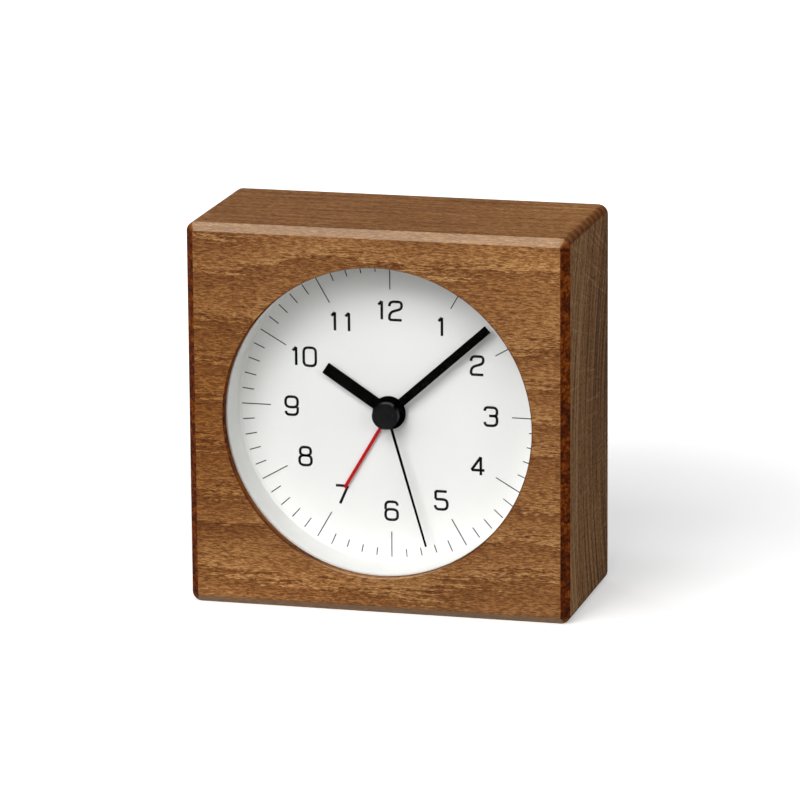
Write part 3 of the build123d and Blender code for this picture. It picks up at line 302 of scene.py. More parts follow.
def stained_wood(colours):
    """Beech-like hardwood, planed, stained and wiped with oil, with its grain running across the clock.

    The pith lay behind the block, so the growth layers are arcs round it: lines along the top, upright lines
    on the ends, and broad bands with one ragged edge on the face. The fibres run along X and show as short
    wavy streaks on the face and as speckles on the ends, where thin light rays fan out from the pith. The
    bevels and the rounded corners cut across the fibres and soak up the most stain."""
    material = new_material("stained_wood")
    # Millimetres: the block's place from the pith, and its mean distance, the widths of bands and layers, the
    # dial's centre from the pith, and a radius just past the wall of the dial's opening
    pith = (0.0, -128.0, -44.0)
    mean_radius = 133.0
    band_width, layer_width = 11.0, 4.6
    dial_centre = (0.0, 0.0, 11.0)
    past_opening = 46.0
    # Place round the pith: along the fibres, out from the pith, and round it
    place = add_node(material, "ShaderNodeTexCoord", output="Object")
    from_pith = add_node(material, "ShaderNodeMapping", {
        "Vector": place, "Location": pith, "Scale": (1 / MM,) * 3,
    })
    along = add_node(material, "ShaderNodeSeparateXYZ", (from_pith,), output="X")
    behind = add_node(material, "ShaderNodeSeparateXYZ", (from_pith,), output="Y")
    above = add_node(material, "ShaderNodeSeparateXYZ", (from_pith,), output="Z")
    across = add_node(material, "ShaderNodeCombineXYZ", (0.0, behind, above))
    radius = add_node(material, "ShaderNodeVectorMath", (across,), output="Value", operation="LENGTH")
    ahead = add_node(material, "ShaderNodeMath", (behind, -1.0), operation="MULTIPLY")
    angle = add_node(material, "ShaderNodeMath", (above, ahead), operation="ARCTAN2")
    arc = add_node(material, "ShaderNodeMath", (angle, mean_radius), operation="MULTIPLY")
    grown = add_node(material, "ShaderNodeCombineXYZ", (along, radius, arc))
    # Noises, each with the length of its grain along those three ways, stretched to run from 0 to 1. Single
    # fibres, pores and rays are finer than these, which are drawn as the bundles of them that show
    patterns = {}
    for name, lengths, detail, roughness, low, high in (
        ("fibres", (1.9, 0.3, 0.3), 2.0, 0.75, 0.38, 0.62),
        ("streaks", (22, 1.6, 1.1), 4.0, 0.62, 0.36, 0.64),
        ("warp", (110, 34, 34), 2.0, 0.5, 0.3, 0.7),
        ("pores", (2.4, 0.45, 0.45), 2.0, 0.5, 0.6, 0.7),
        ("lines", (30, 1.2, 60), 3.0, 0.65, 0.37, 0.63),
        ("rays", (30, 36, 0.8), 1.0, 0.5, 0.62, 0.7),
        ("patches", (12, 3, 2), 2.0, 0.5, 0.38, 0.62),
        ("speckles", (2.0, 0.7, 0.8), 3.0, 0.75, 0.4, 0.6),
    ):
        stretched = add_node(material, "ShaderNodeVectorMath", (grown, lengths), operation="DIVIDE")
        noise = add_node(material, "ShaderNodeTexNoise", {
            "Vector": stretched, "Scale": 1.0, "Detail": detail, "Roughness": roughness, "Distortion": 0.2,
        })
        patterns[name] = add_node(material, "ShaderNodeMapRange", (noise, low, high))
    # Bands on the face, paling suddenly and darkening slowly, with their edges torn by the fibres
    torn = add_node(material, "ShaderNodeMath", (patterns["fibres"], 1.6, arc), operation="MULTIPLY_ADD")
    torn = add_node(material, "ShaderNodeMath", (patterns["streaks"], 5.0, torn), operation="MULTIPLY_ADD")
    torn = add_node(material, "ShaderNodeMath", (patterns["warp"], 14.0, torn), operation="MULTIPLY_ADD")
    bands = add_node(material, "ShaderNodeMath", (torn, band_width), operation="DIVIDE")
    bands = add_node(material, "ShaderNodeMath", (bands,), operation="FRACT")
    bands = add_node(material, "ShaderNodeValToRGB", (bands,), stops=[
        (0.0, 0.0), (0.1, 1.0), (0.3, 0.9), (1.0, 0.0),
    ])
    # Growth layers, bent a little by the same warp
    bent = add_node(material, "ShaderNodeMath", (patterns["warp"], 2.5, radius), operation="MULTIPLY_ADD")
    layers = add_node(material, "ShaderNodeMath", (bent, 2 * math.pi / layer_width), operation="MULTIPLY")
    layers = add_node(material, "ShaderNodeMath", (layers,), operation="SINE")
    layers = add_node(material, "ShaderNodeMapRange", (layers, -1.0, 1.0))
    # Which way the surface faces: up or down, and sideways
    normal = add_node(material, "ShaderNodeTexCoord", output="Normal")
    upward = add_node(material, "ShaderNodeSeparateXYZ", (normal,), output="Z")
    upright = add_node(material, "ShaderNodeMath", (upward,), operation="ABSOLUTE")
    sideways = add_node(material, "ShaderNodeSeparateXYZ", (normal,), output="X")
    sideways = add_node(material, "ShaderNodeMath", (sideways,), operation="ABSOLUTE")
    # Faces along the grain: half the tone is the fibres', a quarter the figure's, and the rest the streaks'
    flat = add_node(material, "ShaderNodeMix", {0: 0.3, 2: patterns["lines"], 3: layers}, data_type="FLOAT")
    figure = add_node(material, "ShaderNodeMix", {0: upright, 2: bands, 3: flat}, data_type="FLOAT")
    tone = add_node(material, "ShaderNodeMath", (patterns["fibres"], 0.52), operation="MULTIPLY")
    tone = add_node(material, "ShaderNodeMath", (patterns["streaks"], 0.18, tone), operation="MULTIPLY_ADD")
    tone = add_node(material, "ShaderNodeMath", (figure, 0.26, tone), operation="MULTIPLY_ADD")
    body = add_node(material, "ShaderNodeValToRGB", (tone,), stops=[
        (0.12, linear(colours.wood_dark)), (0.4, linear(colours.wood_band)), (0.62, linear(colours.wood_mid)),
        (0.92, linear(colours.wood_light)),
    ])
    inked = add_node(material, "ShaderNodeMath", (patterns["pores"], 0.55), operation="MULTIPLY")
    body = add_node(material, "ShaderNodeMix", {
        0: inked, 6: body, 7: linear(colours.pore),
    }, 2, data_type="RGBA")
    # The board takes the stain unevenly: deeply at the left of the dial, and less in two corners of the face.
    # Each patch has a centre and a reach, in millimetres from the pith, and the shares of light it leaves
    for centre, reach, stain in (
        ((-56.0, 0.0, 11.0), (30.0, 1.0, 48.0), (0.76, 0.6, 0.34, 1.0)),
        ((56.0, 0.0, 62.0), (36.0, 1.0, 24.0), (1.28, 1.34, 1.34, 1.0)),
        ((-30.0, 0.0, -40.0), (38.0, 1.0, 16.0), (1.28, 1.28, 1.25, 1.0)),
    ):
        away = add_node(material, "ShaderNodeCombineXYZ", (along, 0.0, above))
        away = add_node(material, "ShaderNodeVectorMath", (away, centre), operation="SUBTRACT")
        away = add_node(material, "ShaderNodeVectorMath", (away, reach), operation="DIVIDE")
        away = add_node(material, "ShaderNodeVectorMath", (away,), output="Value", operation="LENGTH")
        taken = add_node(material, "ShaderNodeMapRange", (away, 0.2, 1.1, 0.85, 0.0))
        body = add_node(material, "ShaderNodeMix", {
            0: taken, 6: body, 7: stain,
        }, 2, data_type="RGBA", blend_type="MULTIPLY")
    # The upper and lower bevels are painted pale: a painted sheen on the upper one, painted light on the lower
    rubbed = add_node(material, "ShaderNodeValToRGB", (upright,), stops=[
        (0.5, 0.0), (0.64, 0.3), (0.78, 0.3), (0.95, 0.0),
    ])
    planed = add_node(material, "ShaderNodeMix", {
        0: rubbed, 6: body, 7: linear(colours.rubbed),
    }, 2, data_type="RGBA")
    # Ends, across the grain, with painted shade that darkens them towards the back
    tone = add_node(material, "ShaderNodeMath", (patterns["lines"], 0.56), operation="MULTIPLY")
    tone = add_node(material, "ShaderNodeMath", (layers, 0.12, tone), operation="MULTIPLY_ADD")
    tone = add_node(material, "ShaderNodeMath", (patterns["speckles"], 0.36, tone), operation="MULTIPLY_ADD")
    tone = add_node(material, "ShaderNodeMath", (patterns["rays"], 0.2, tone), operation="MULTIPLY_ADD")
    # Painted shade: the ends darken towards the back
    back = add_node(material, "ShaderNodeMapRange", (radius, 110.0, 150.0, -0.22, 0.08))
    tone = add_node(material, "ShaderNodeMath", (tone, back), operation="ADD")
    ends = add_node(material, "ShaderNodeValToRGB", (tone,), stops=[
        (0.16, linear(colours.end_dark)), (0.5, linear(colours.end_mid)), (0.88, linear(colours.end_light)),
    ])
    # Side bevels, mottled, and rounded corners, ridged by the layers, at a slant to the grain
    mottle = add_node(material, "ShaderNodeMath", (patterns["patches"], 0.45), operation="MULTIPLY")
    mottle = add_node(
        material, "ShaderNodeMath", (patterns["speckles"], 0.6, mottle), operation="MULTIPLY_ADD",
    )
    ridges = add_node(material, "ShaderNodeMath", (layers, 0.9), operation="MULTIPLY")
    ridges = add_node(
        material, "ShaderNodeMath", (patterns["speckles"], 0.2, ridges), operation="MULTIPLY_ADD",
    )
    rounded = add_node(material, "ShaderNodeMapRange", (upright, 0.2, 0.6))
    tone = add_node(material, "ShaderNodeMix", {0: rounded, 2: mottle, 3: ridges}, data_type="FLOAT")
    slants = add_node(material, "ShaderNodeValToRGB", (tone,), stops=[
        (0.15, linear(colours.pore)), (0.6, linear(colours.bevel)), (1.0, linear(colours.bevel_light)),
    ])
    corner = add_node(material, "ShaderNodeMath", (upright, 0.45), operation="MULTIPLY")
    slants = add_node(material, "ShaderNodeMix", {0: corner, 6: slants, 7: body}, 2, data_type="RGBA")
    on_slant = add_node(material, "ShaderNodeMapRange", (sideways, 0.2, 0.4))
    on_end = add_node(material, "ShaderNodeMapRange", (sideways, 0.92, 0.985))
    # The opening's wall takes the bevels' dark colour where the ends' colour would fall: painted shade
    from_axis = add_node(material, "ShaderNodeCombineXYZ", (along, 0.0, above))
    from_axis = add_node(material, "ShaderNodeVectorMath", (from_axis, dial_centre), operation="SUBTRACT")
    from_axis = add_node(material, "ShaderNodeVectorMath", (from_axis,), output="Value", operation="LENGTH")
    outside = add_node(material, "ShaderNodeMath", (from_axis, past_opening), operation="GREATER_THAN")
    on_end = add_node(material, "ShaderNodeMath", (on_end, outside), operation="MULTIPLY")
    colour = add_node(material, "ShaderNodeMix", {0: on_slant, 6: planed, 7: slants}, 2, data_type="RGBA")
    colour = add_node(material, "ShaderNodeMix", {0: on_end, 6: colour, 7: ends}, 2, data_type="RGBA")
    # The planed face is satin, the upper bevel is burnished by handling, and the top and the ends are rough
    sheen = add_node(material, "ShaderNodeValToRGB", (upward,), stops=[
        (0.0, 0.55), (0.5, 0.55), (0.64, 0.2), (0.78, 0.2), (0.95, 0.9),
    ])
    sheen = add_node(material, "ShaderNodeMath", (patterns["fibres"], -0.08, sheen), operation="MULTIPLY_ADD")
    roughness = add_node(material, "ShaderNodeMix", {0: on_slant, 2: sheen, 3: 0.9}, data_type="FLOAT")
    relief = add_node(material, "ShaderNodeMath", (patterns["fibres"], 0.5), operation="MULTIPLY")
    relief = add_node(material, "ShaderNodeMath", (relief, patterns["pores"]), operation="SUBTRACT")
    bump = add_node(material, "ShaderNodeBump", {"Strength": 0.6, "Distance": 0.04 * MM, "Height": relief})
    surface = add_node(material, "ShaderNodeBsdfPrincipled", {
        "Base Color": colour, "Roughness": roughness, "Specular IOR Level": 0.1, "Normal": bump,
    })
    add_node(material, "ShaderNodeOutputMaterial", {"Surface": surface})
    return material


def clear_lens():
    """Clear acrylic lens, moulded flat and polished, with a coating that keeps reflections off the dial.

    Lamps and the light between ring and dial pass straight through it, so it casts no shadow."""
    material = new_material("clear_lens")
    place = add_node(material, "ShaderNodeTexCoord", output="Object")
    haze = add_node(material, "ShaderNodeTexNoise", {"Vector": place, "Scale": 1 / (9 * MM), "Detail": 3.0})
    roughness = add_node(material, "ShaderNodeMapRange", (haze, 0.3, 0.7, 0.0, 0.012))
    lens = add_node(material, "ShaderNodeBsdfPrincipled", {
        "Base Color": linear("#fdfefe"), "Roughness": roughness, "IOR": 1.04, "Transmission Weight": 1.0,
    })
    shadow = add_node(material, "ShaderNodeLightPath", output="Is Shadow Ray")
    bounce = add_node(material, "ShaderNodeLightPath", output="Is Diffuse Ray")
    lit_through = add_node(material, "ShaderNodeMath", (shadow, bounce), operation="MAXIMUM")
    clear = add_node(material, "ShaderNodeBsdfTransparent")
    surface = add_node(material, "ShaderNodeMixShader", (lit_through, lens, clear))
    add_node(material, "ShaderNodeOutputMaterial", {"Surface": surface})
    return material


def moulded_plastic(name, colour, roughness, gloss, grain_size, relief):
    """Injection-moulded plastic: even colour with a trace of flow, and the texture of its mould.

    The texture is drawn a few times coarser than a mould's, so that it shows."""
    material = new_material(name)
    place = add_node(material, "ShaderNodeTexCoord", output="Object")
    texture = add_node(material, "ShaderNodeTexNoise", {
        "Vector": place, "Scale": 1 / grain_size, "Detail": 3.0, "Roughness": 0.6,
    })
    flow = add_node(material, "ShaderNodeTexNoise", {"Vector": place, "Scale": 1 / (14 * MM), "Detail": 2.0})
    flow = add_node(material, "ShaderNodeMapRange", (flow, 0.3, 0.7))
    body = add_node(material, "ShaderNodeMix", {
        0: flow, 6: deeper(colour, 0.93), 7: linear(colour),
    }, 2, data_type="RGBA")
    polish = add_node(material, "ShaderNodeMapRange", (texture, 0.3, 0.7, roughness - 0.06, roughness + 0.06))
    bump = add_node(material, "ShaderNodeBump", {"Strength": 0.6, "Distance": relief, "Height": texture})
    surface = add_node(material, "ShaderNodeBsdfPrincipled", {
        "Base Color": body, "Roughness": polish, "Specular IOR Level": gloss, "Normal": bump,
    })
    add_node(material, "ShaderNodeOutputMaterial", {"Surface": surface})
    return material


def enamel(name, colour, roughness, gloss):
    """Sprayed enamel on stamped sheet: nearly flat, with a faint orange-peel surface."""
    material = new_material(name)
    place = add_node(material, "ShaderNodeTexCoord", output="Object")
    peel = add_node(material, "ShaderNodeTexNoise", {"Vector": place, "Scale": 1 / (0.5 * MM), "Detail": 2.0})
    body = add_node(material, "ShaderNodeMix", {
        0: peel, 6: deeper(colour, 0.85), 7: linear(colour),
    }, 2, data_type="RGBA")
    polish = add_node(material, "ShaderNodeMapRange", (peel, 0.3, 0.7, roughness - 0.05, roughness + 0.05))
    bump = add_node(material, "ShaderNodeBump", {"Strength": 0.4, "Distance": 0.006 * MM, "Height": peel})
    surface = add_node(material, "ShaderNodeBsdfPrincipled", {
        "Base Color": body, "Roughness": polish, "Specular IOR Level": gloss, "Normal": bump,
    })
    add_node(material, "ShaderNodeOutputMaterial", {"Surface": surface})
    return material


def printed(name, colour, share, tooth_size, roughness, gloss):
    """Screen-printed ink on the dial's sheet: matt, its film a little uneven, with a trace of tooth."""
    material = new_material(name)
    place = add_node(material, "ShaderNodeTexCoord", output="Object")
    tooth = add_node(material, "ShaderNodeTexNoise", {
        "Vector": place, "Scale": 1 / tooth_size, "Detail": 3.0,
    })
    film = add_node(material, "ShaderNodeTexNoise", {"Vector": place, "Scale": 1 / (22 * MM), "Detail": 2.0})
    film = add_node(material, "ShaderNodeMapRange", (film, 0.3, 0.7))
    body = add_node(material, "ShaderNodeMix", {
        0: film, 6: deeper(colour, share), 7: linear(colour),
    }, 2, data_type="RGBA")
    polish = add_node(material, "ShaderNodeMapRange", (tooth, 0.3, 0.7, roughness - 0.06, roughness + 0.06))
    bump = add_node(material, "ShaderNodeBump", {"Strength": 0.3, "Distance": 0.004 * MM, "Height": tooth})
    surface = add_node(material, "ShaderNodeBsdfPrincipled", {
        "Base Color": body, "Roughness": polish, "Specular IOR Level": gloss, "Normal": bump,
    })
    add_node(material, "ShaderNodeOutputMaterial", {"Surface": surface})
    return material


def metal(name, colour, roughness, streak):
    """Bare or plated metal, with streaks left by drawing, rolling or turning, coarser than real ones."""
    material = new_material(name)
    place = add_node(material, "ShaderNodeTexCoord", output="Object")
    lengths = [length * MM for length in streak]
    stretched = add_node(material, "ShaderNodeVectorMath", (place, lengths), operation="DIVIDE")
    lines = add_node(material, "ShaderNodeTexNoise", {
        "Vector": stretched, "Scale": 1.0, "Detail": 4.0, "Roughness": 0.6,
    })
    shine = add_node(material, "ShaderNodeMapRange", (lines, 0.3, 0.7))
    body = add_node(material, "ShaderNodeMix", {
        0: shine, 6: deeper(colour, 0.82), 7: linear(colour),
    }, 2, data_type="RGBA")
    polish = add_node(material, "ShaderNodeMapRange", (lines, 0.3, 0.7, roughness + 0.08, roughness - 0.06))
    bump = add_node(material, "ShaderNodeBump", {"Strength": 0.5, "Distance": 0.004 * MM, "Height": lines})
    surface = add_node(material, "ShaderNodeBsdfPrincipled", {
        "Base Color": body, "Metallic": 1.0, "Roughness": polish, "Normal": bump,
    })
    add_node(material, "ShaderNodeOutputMaterial", {"Surface": surface})
    return material


def wound_copper():
    """Enamelled copper wire wound along the bobbin, each turn a fine groove.

    The turns are 0.25 mm apart, coarser than 0.06 mm wire, so that they show."""
    material = new_material("wound_copper")
    place = add_node(material, "ShaderNodeTexCoord", output="Object")
    height = add_node(material, "ShaderNodeSeparateXYZ", (place,), output="Z")
    turns = add_node(material, "ShaderNodeMath", (height, 2 * math.pi / (0.25 * MM)), operation="MULTIPLY")
    turns = add_node(material, "ShaderNodeMath", (turns,), operation="SINE")
    turns = add_node(material, "ShaderNodeMapRange", (turns, -1.0, 1.0))
    # Painted shade: the colour darkens in the grooves between the turns and pales on their crowns
    body = add_node(material, "ShaderNodeMix", {
        0: turns, 6: linear("#5e2a14"), 7: linear("#b4602f"),
    }, 2, data_type="RGBA")
    polish = add_node(material, "ShaderNodeMapRange", (turns, 0.0, 1.0, 0.45, 0.28))
    bump = add_node(material, "ShaderNodeBump", {"Strength": 0.8, "Distance": 0.03 * MM, "Height": turns})
    surface = add_node(material, "ShaderNodeBsdfPrincipled", {
        "Base Color": body, "Metallic": 1.0, "Roughness": polish, "Coat Weight": 0.5, "Normal": bump,
    })
    add_node(material, "ShaderNodeOutputMaterial", {"Surface": surface})
    return material


def circuit_laminate():
    """Glass-epoxy board under green solder mask, its copper tracks lighter raised lines, drawn coarse."""
    material = new_material("circuit_laminate")
    place = add_node(material, "ShaderNodeTexCoord", output="Object")
    edges = add_node(
        material, "ShaderNodeTexVoronoi", {"Vector": place, "Scale": 1 / (2.4 * MM), "Randomness": 0.55},
        "Distance", feature="DISTANCE_TO_EDGE",
    )
    tracks = add_node(material, "ShaderNodeMapRange", (edges, 0.1, 0.06))
    body = add_node(material, "ShaderNodeMix", {
        0: tracks, 6: linear("#0f4a26"), 7: linear("#2c7a44"),
    }, 2, data_type="RGBA")
    polish = add_node(material, "ShaderNodeMapRange", (tracks, 0.0, 1.0, 0.38, 0.28))
    bump = add_node(material, "ShaderNodeBump", {"Strength": 0.6, "Distance": 0.02 * MM, "Height": tracks})
    surface = add_node(material, "ShaderNodeBsdfPrincipled", {
        "Base Color": body, "Roughness": polish, "Normal": bump,
    })
    add_node(material, "ShaderNodeOutputMaterial", {"Surface": surface})
    return material


def battery_sleeve():
    """Shrink sleeve of a plain cell, dark with a light band, over steel that is bare at both ends."""
    material = new_material("battery_sleeve")
    low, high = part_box("battery")
    place = add_node(material, "ShaderNodeTexCoord", output="Object")
    along = add_node(material, "ShaderNodeSeparateXYZ", (place,), output="X")
    past_start = add_node(material, "ShaderNodeMath", (along, low.x + 1.8 * MM), operation="GREATER_THAN")
    before_end = add_node(material, "ShaderNodeMath", (along, high.x - 0.7 * MM), operation="LESS_THAN")
    sleeve = add_node(material, "ShaderNodeMath", (past_start, before_end), operation="MULTIPLY")
    band = add_node(material, "ShaderNodeMath", (along, low.x + 13 * MM), operation="LESS_THAN")
    wrap = add_node(material, "ShaderNodeTexNoise", {"Vector": place, "Scale": 1 / (0.6 * MM), "Detail": 2.0})
    body = add_node(material, "ShaderNodeMix", {
        0: band, 6: linear("#3d4a57"), 7: linear("#c9ccc9"),
    }, 2, data_type="RGBA")
    body = add_node(material, "ShaderNodeMix", {
        0: sleeve, 6: linear("#b8b8b4"), 7: body,
    }, 2, data_type="RGBA")
    bare = add_node(material, "ShaderNodeMath", (1.0, sleeve), operation="SUBTRACT")
    polish = add_node(material, "ShaderNodeMapRange", (wrap, 0.3, 0.7, 0.26, 0.36))
    bump = add_node(material, "ShaderNodeBump", {"Strength": 0.4, "Distance": 0.01 * MM, "Height": wrap})
    surface = add_node(material, "ShaderNodeBsdfPrincipled", {
        "Base Color": body, "Metallic": bare, "Roughness": polish, "Normal": bump,
    })
    add_node(material, "ShaderNodeOutputMaterial", {"Surface": surface})
    return material


def make_finishes(colours):
    """Every finish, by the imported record's material slot."""
    return {
        "stained_beech": stained_wood(colours),
        "clear_glass": clear_lens(),
        "white_abs": moulded_plastic("white_abs", colours.ring, 0.5, 0.4, 0.35 * MM, 0.006 * MM),
        "dial_white": printed("printed_white", colours.dial, 0.98, 0.25 * MM, 0.68, 0.3),
        "red_enamel": enamel("red_enamel", colours.hand_red, 0.42, 0.15),
        "black_enamel": enamel("black_enamel", colours.hand_black, 0.6, 0.01),
        "white_acetal": moulded_plastic("white_acetal", "#e9e8e0", 0.38, 0.5, 0.6 * MM, 0.004 * MM),
        "brass": metal("turned_brass", "#c9a24f", 0.28, (0.3, 3.0, 0.3)),
        "magnet_steel": metal("sintered_magnet", "#6c6c6e", 0.5, (0.2, 0.2, 0.2)),
        "silicon_steel": metal("rolled_steel", "#9a9b9d", 0.34, (4.0, 0.3, 0.25)),
        "copper_wire": wound_copper(),
        "circuit_laminate": circuit_laminate(),
        "nickel_plate": metal("nickel_plate", "#c9c6be", 0.22, (1.2, 0.4, 0.4)),
        "black_resin": moulded_plastic("black_resin", "#101011", 0.2, 0.5, 1.4 * MM, 0.01 * MM),
        "black_abs": moulded_plastic("black_abs", colours.cover, 0.55, 0.5, 0.3 * MM, 0.025 * MM),
        "zinc_steel": metal("zinc_plated_steel", "#a9abad", 0.36, (0.5, 0.5, 0.5)),
        "battery_wrap": battery_sleeve(),
        "grey_abs": moulded_plastic("grey_abs", "#8b8d8f", 0.48, 0.5, 0.35 * MM, 0.015 * MM),
    }


def print_ink(colours):
    """Black screen ink of the numerals and marks."""
    made = bpy.data.materials.get("printing_ink")
    return made or printed("printing_ink", colours.ink, 0.8, 0.3 * MM, 0.58, 0.1)


def rounded_path(corners, width, height, radius):
    """A stroke's centreline in the plane, its rounded corners as curves that start a radius away."""
    arc_steps = 6
    points = [Vector((x * width, y * height)) for x, y, _ in corners]
    path = []
    for index, (_, _, is_round) in enumerate(corners):
        here = points[index]
        if not is_round:
            path.append(here)
            continue
        cut = radius
        neighbours = []
        for other in (index - 1, (index + 1) % len(points)):
            side = points[other] - here
            cut = min(cut, side.length * (0.5 if corners[other][2] else 1.0))
            neighbours.append(side.normalized())
        before, after = neighbours
        start = here + before * cut
        end = here + after * cut
        for step in range(arc_steps + 1):
            share = step / arc_steps
            path.append(start * (1 - share) ** 2 + here * 2 * share * (1 - share) + end * share ** 2)
    return path


def stroke_mesh(name, strokes, width, height, sizes):
    """Mesh of one figure: each stroke is a bar of ink along its centreline, rising along Z."""
    section = bpy.data.curves.new(name + "_section", "CURVE")
    section.dimensions = "2D"
    corner_line = section.splines.new("POLY")
    corner_line.points.add(3)
    half = sizes.stroke / 2
    corners = [(-half, 0), (half, 0), (half, sizes.ink_height), (-half, sizes.ink_height)]
    for point, (x, y) in zip(corner_line.points, corners):
        point.co = (x, y, 0, 1)
    corner_line.use_cyclic_u = True
    section_object = bpy.data.objects.new(name + "_section", section)
    bpy.context.scene.collection.objects.link(section_object)
    line = bpy.data.curves.new(name, "CURVE")
    line.dimensions = "3D"
    line.twist_mode = "Z_UP"
    line.bevel_mode = "OBJECT"
    line.bevel_object = section_object
    line.use_fill_caps = True
    for closed, stroke_corners in strokes:
        path = rounded_path(stroke_corners, width, height, sizes.corner)
        spline = line.splines.new("POLY")
        spline.points.add(len(path) - 1)
        for point, place in zip(spline.points, path):
            point.co = (place.x, place.y, 0, 1)
        spline.use_cyclic_u = closed
    line_object = bpy.data.objects.new(name, line)
    bpy.context.scene.collection.objects.link(line_object)
    bpy.context.view_layer.update()
    mesh = bpy.data.meshes.new_from_object(line_object.evaluated_get(bpy.context.evaluated_depsgraph_get()))
    for used in (line_object, section_object):
        data = used.data
        bpy.data.objects.remove(used)
        bpy.data.curves.remove(data)
    return mesh


def on_dial(place_x, place_z):
    """Matrix that lays a drawing in the XY plane on the dial, with its Z axis towards the viewer."""
    turn = Matrix.Rotation(math.radians(90), 4, "X")
    return Matrix.Translation((place_x, DIAL_FRONT, HANDS_AXIS.z + place_z)) @ turn


def add_piece(name, mesh, material, body):
    """Link a finished mesh as a piece that moves with a body."""
    piece = bpy.data.objects.new(name, mesh)
    bpy.context.scene.collection.objects.link(piece)
    piece.data.materials.clear()
    piece.data.materials.append(material)
    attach(piece, body)
    return piece


def seen_rays(owner):
    """1 for what is seen, by the camera, in gloss or through glass, and 0 for light that falls on things."""
    camera = add_node(owner, "ShaderNodeLightPath", output="Is Camera Ray")
    gloss = add_node(owner, "ShaderNodeLightPath", output="Is Glossy Ray")
    glass = add_node(owner, "ShaderNodeLightPath", output="Is Transmission Ray")
    seen = add_node(owner, "ShaderNodeMath", (camera, gloss), operation="MAXIMUM")
    return add_node(owner, "ShaderNodeMath", (seen, glass), operation="MAXIMUM")


class DESKCLOCK_OT_finishes(bpy.types.Operator):
    """Give every piece of the clock its finish"""

    bl_idname = "desk_clock.finishes"
    bl_label = "Finish the pieces"

    def execute(self, context):
        colours = context.scene.clock_colours
        finishes = make_finishes(colours)
        cap = moulded_plastic("black_cap", colours.cap, 0.12, 0.1, 1.2 * MM, 0.001 * MM)
        for subpart in frame["record"]["subparts"]:
            node = frame["nodes"][subpart["node"]]
            for slot in node.material_slots:
                slot.material = cap if subpart["node"] == "centre_cap" else finishes[subpart["material_slot"]]
        return {"FINISHED"}


class DESKCLOCK_OT_numerals(bpy.types.Operator):
    """Print the numerals on the dial"""

    bl_idname = "desk_clock.numerals"
    bl_label = "Print the numerals"

    def execute(self, context):
        sizes = context.scene.dial_print_sizes
        height = sizes.numeral_height - sizes.stroke
        plate = bmesh.new()
        for hour in range(1, 13):
            figures = str(hour)
            widths = [sizes.one_width if figure == "1" else sizes.figure_width for figure in figures]
            gap = sizes.ones_gap if figures == "11" else sizes.figure_gap
            angle = math.radians(30 * hour)
            left = -(sum(widths) + gap * (len(figures) - 1)) / 2
            for figure, width in zip(figures, widths):
                strokes = ONE if figure == "1" else FIGURES[figure]
                mesh = stroke_mesh("figure", strokes, width - sizes.stroke, height, sizes)
                across = sizes.numeral_circle * math.sin(angle) + left + sizes.stroke / 2
                up = sizes.numeral_circle * math.cos(angle) - height / 2
                mesh.transform(on_dial(across, up))
                plate.from_mesh(mesh)
                bpy.data.meshes.remove(mesh)
                left += width + gap
        mesh = bpy.data.meshes.new("dial_numerals")
        plate.to_mesh(mesh)
        plate.free()
        add_piece("dial_numerals", mesh, print_ink(context.scene.clock_colours), "clock")
        return {"FINISHED"}


class DESKCLOCK_OT_marks(bpy.types.Operator):
    """Print the hour and minute marks on the dial"""

    bl_idname = "desk_clock.marks"
    bl_label = "Print the marks"

    def execute(self, context):
        sizes = context.scene.dial_print_sizes
        plate = bmesh.new()
        for minute in range(60):
            inner = sizes.minute_mark_inner if minute % 5 else sizes.hour_mark_inner
            outer = sizes.foot_mark_outer if 27 <= minute <= 33 else sizes.mark_outer
            bar = Matrix.Diagonal((sizes.mark_width, outer - inner, sizes.ink_height, 1))
            lift = Matrix.Translation((0, (inner + outer) / 2, sizes.ink_height / 2))
            turn = Matrix.Rotation(-math.radians(6 * minute), 4, "Z")
            bmesh.ops.create_cube(plate, size=1.0, matrix=on_dial(0, 0) @ turn @ lift @ bar)
        mesh = bpy.data.meshes.new("dial_marks")
        plate.to_mesh(mesh)
        plate.free()
        add_piece("dial_marks", mesh, print_ink(context.scene.clock_colours), "clock")
        return {"FINISHED"}


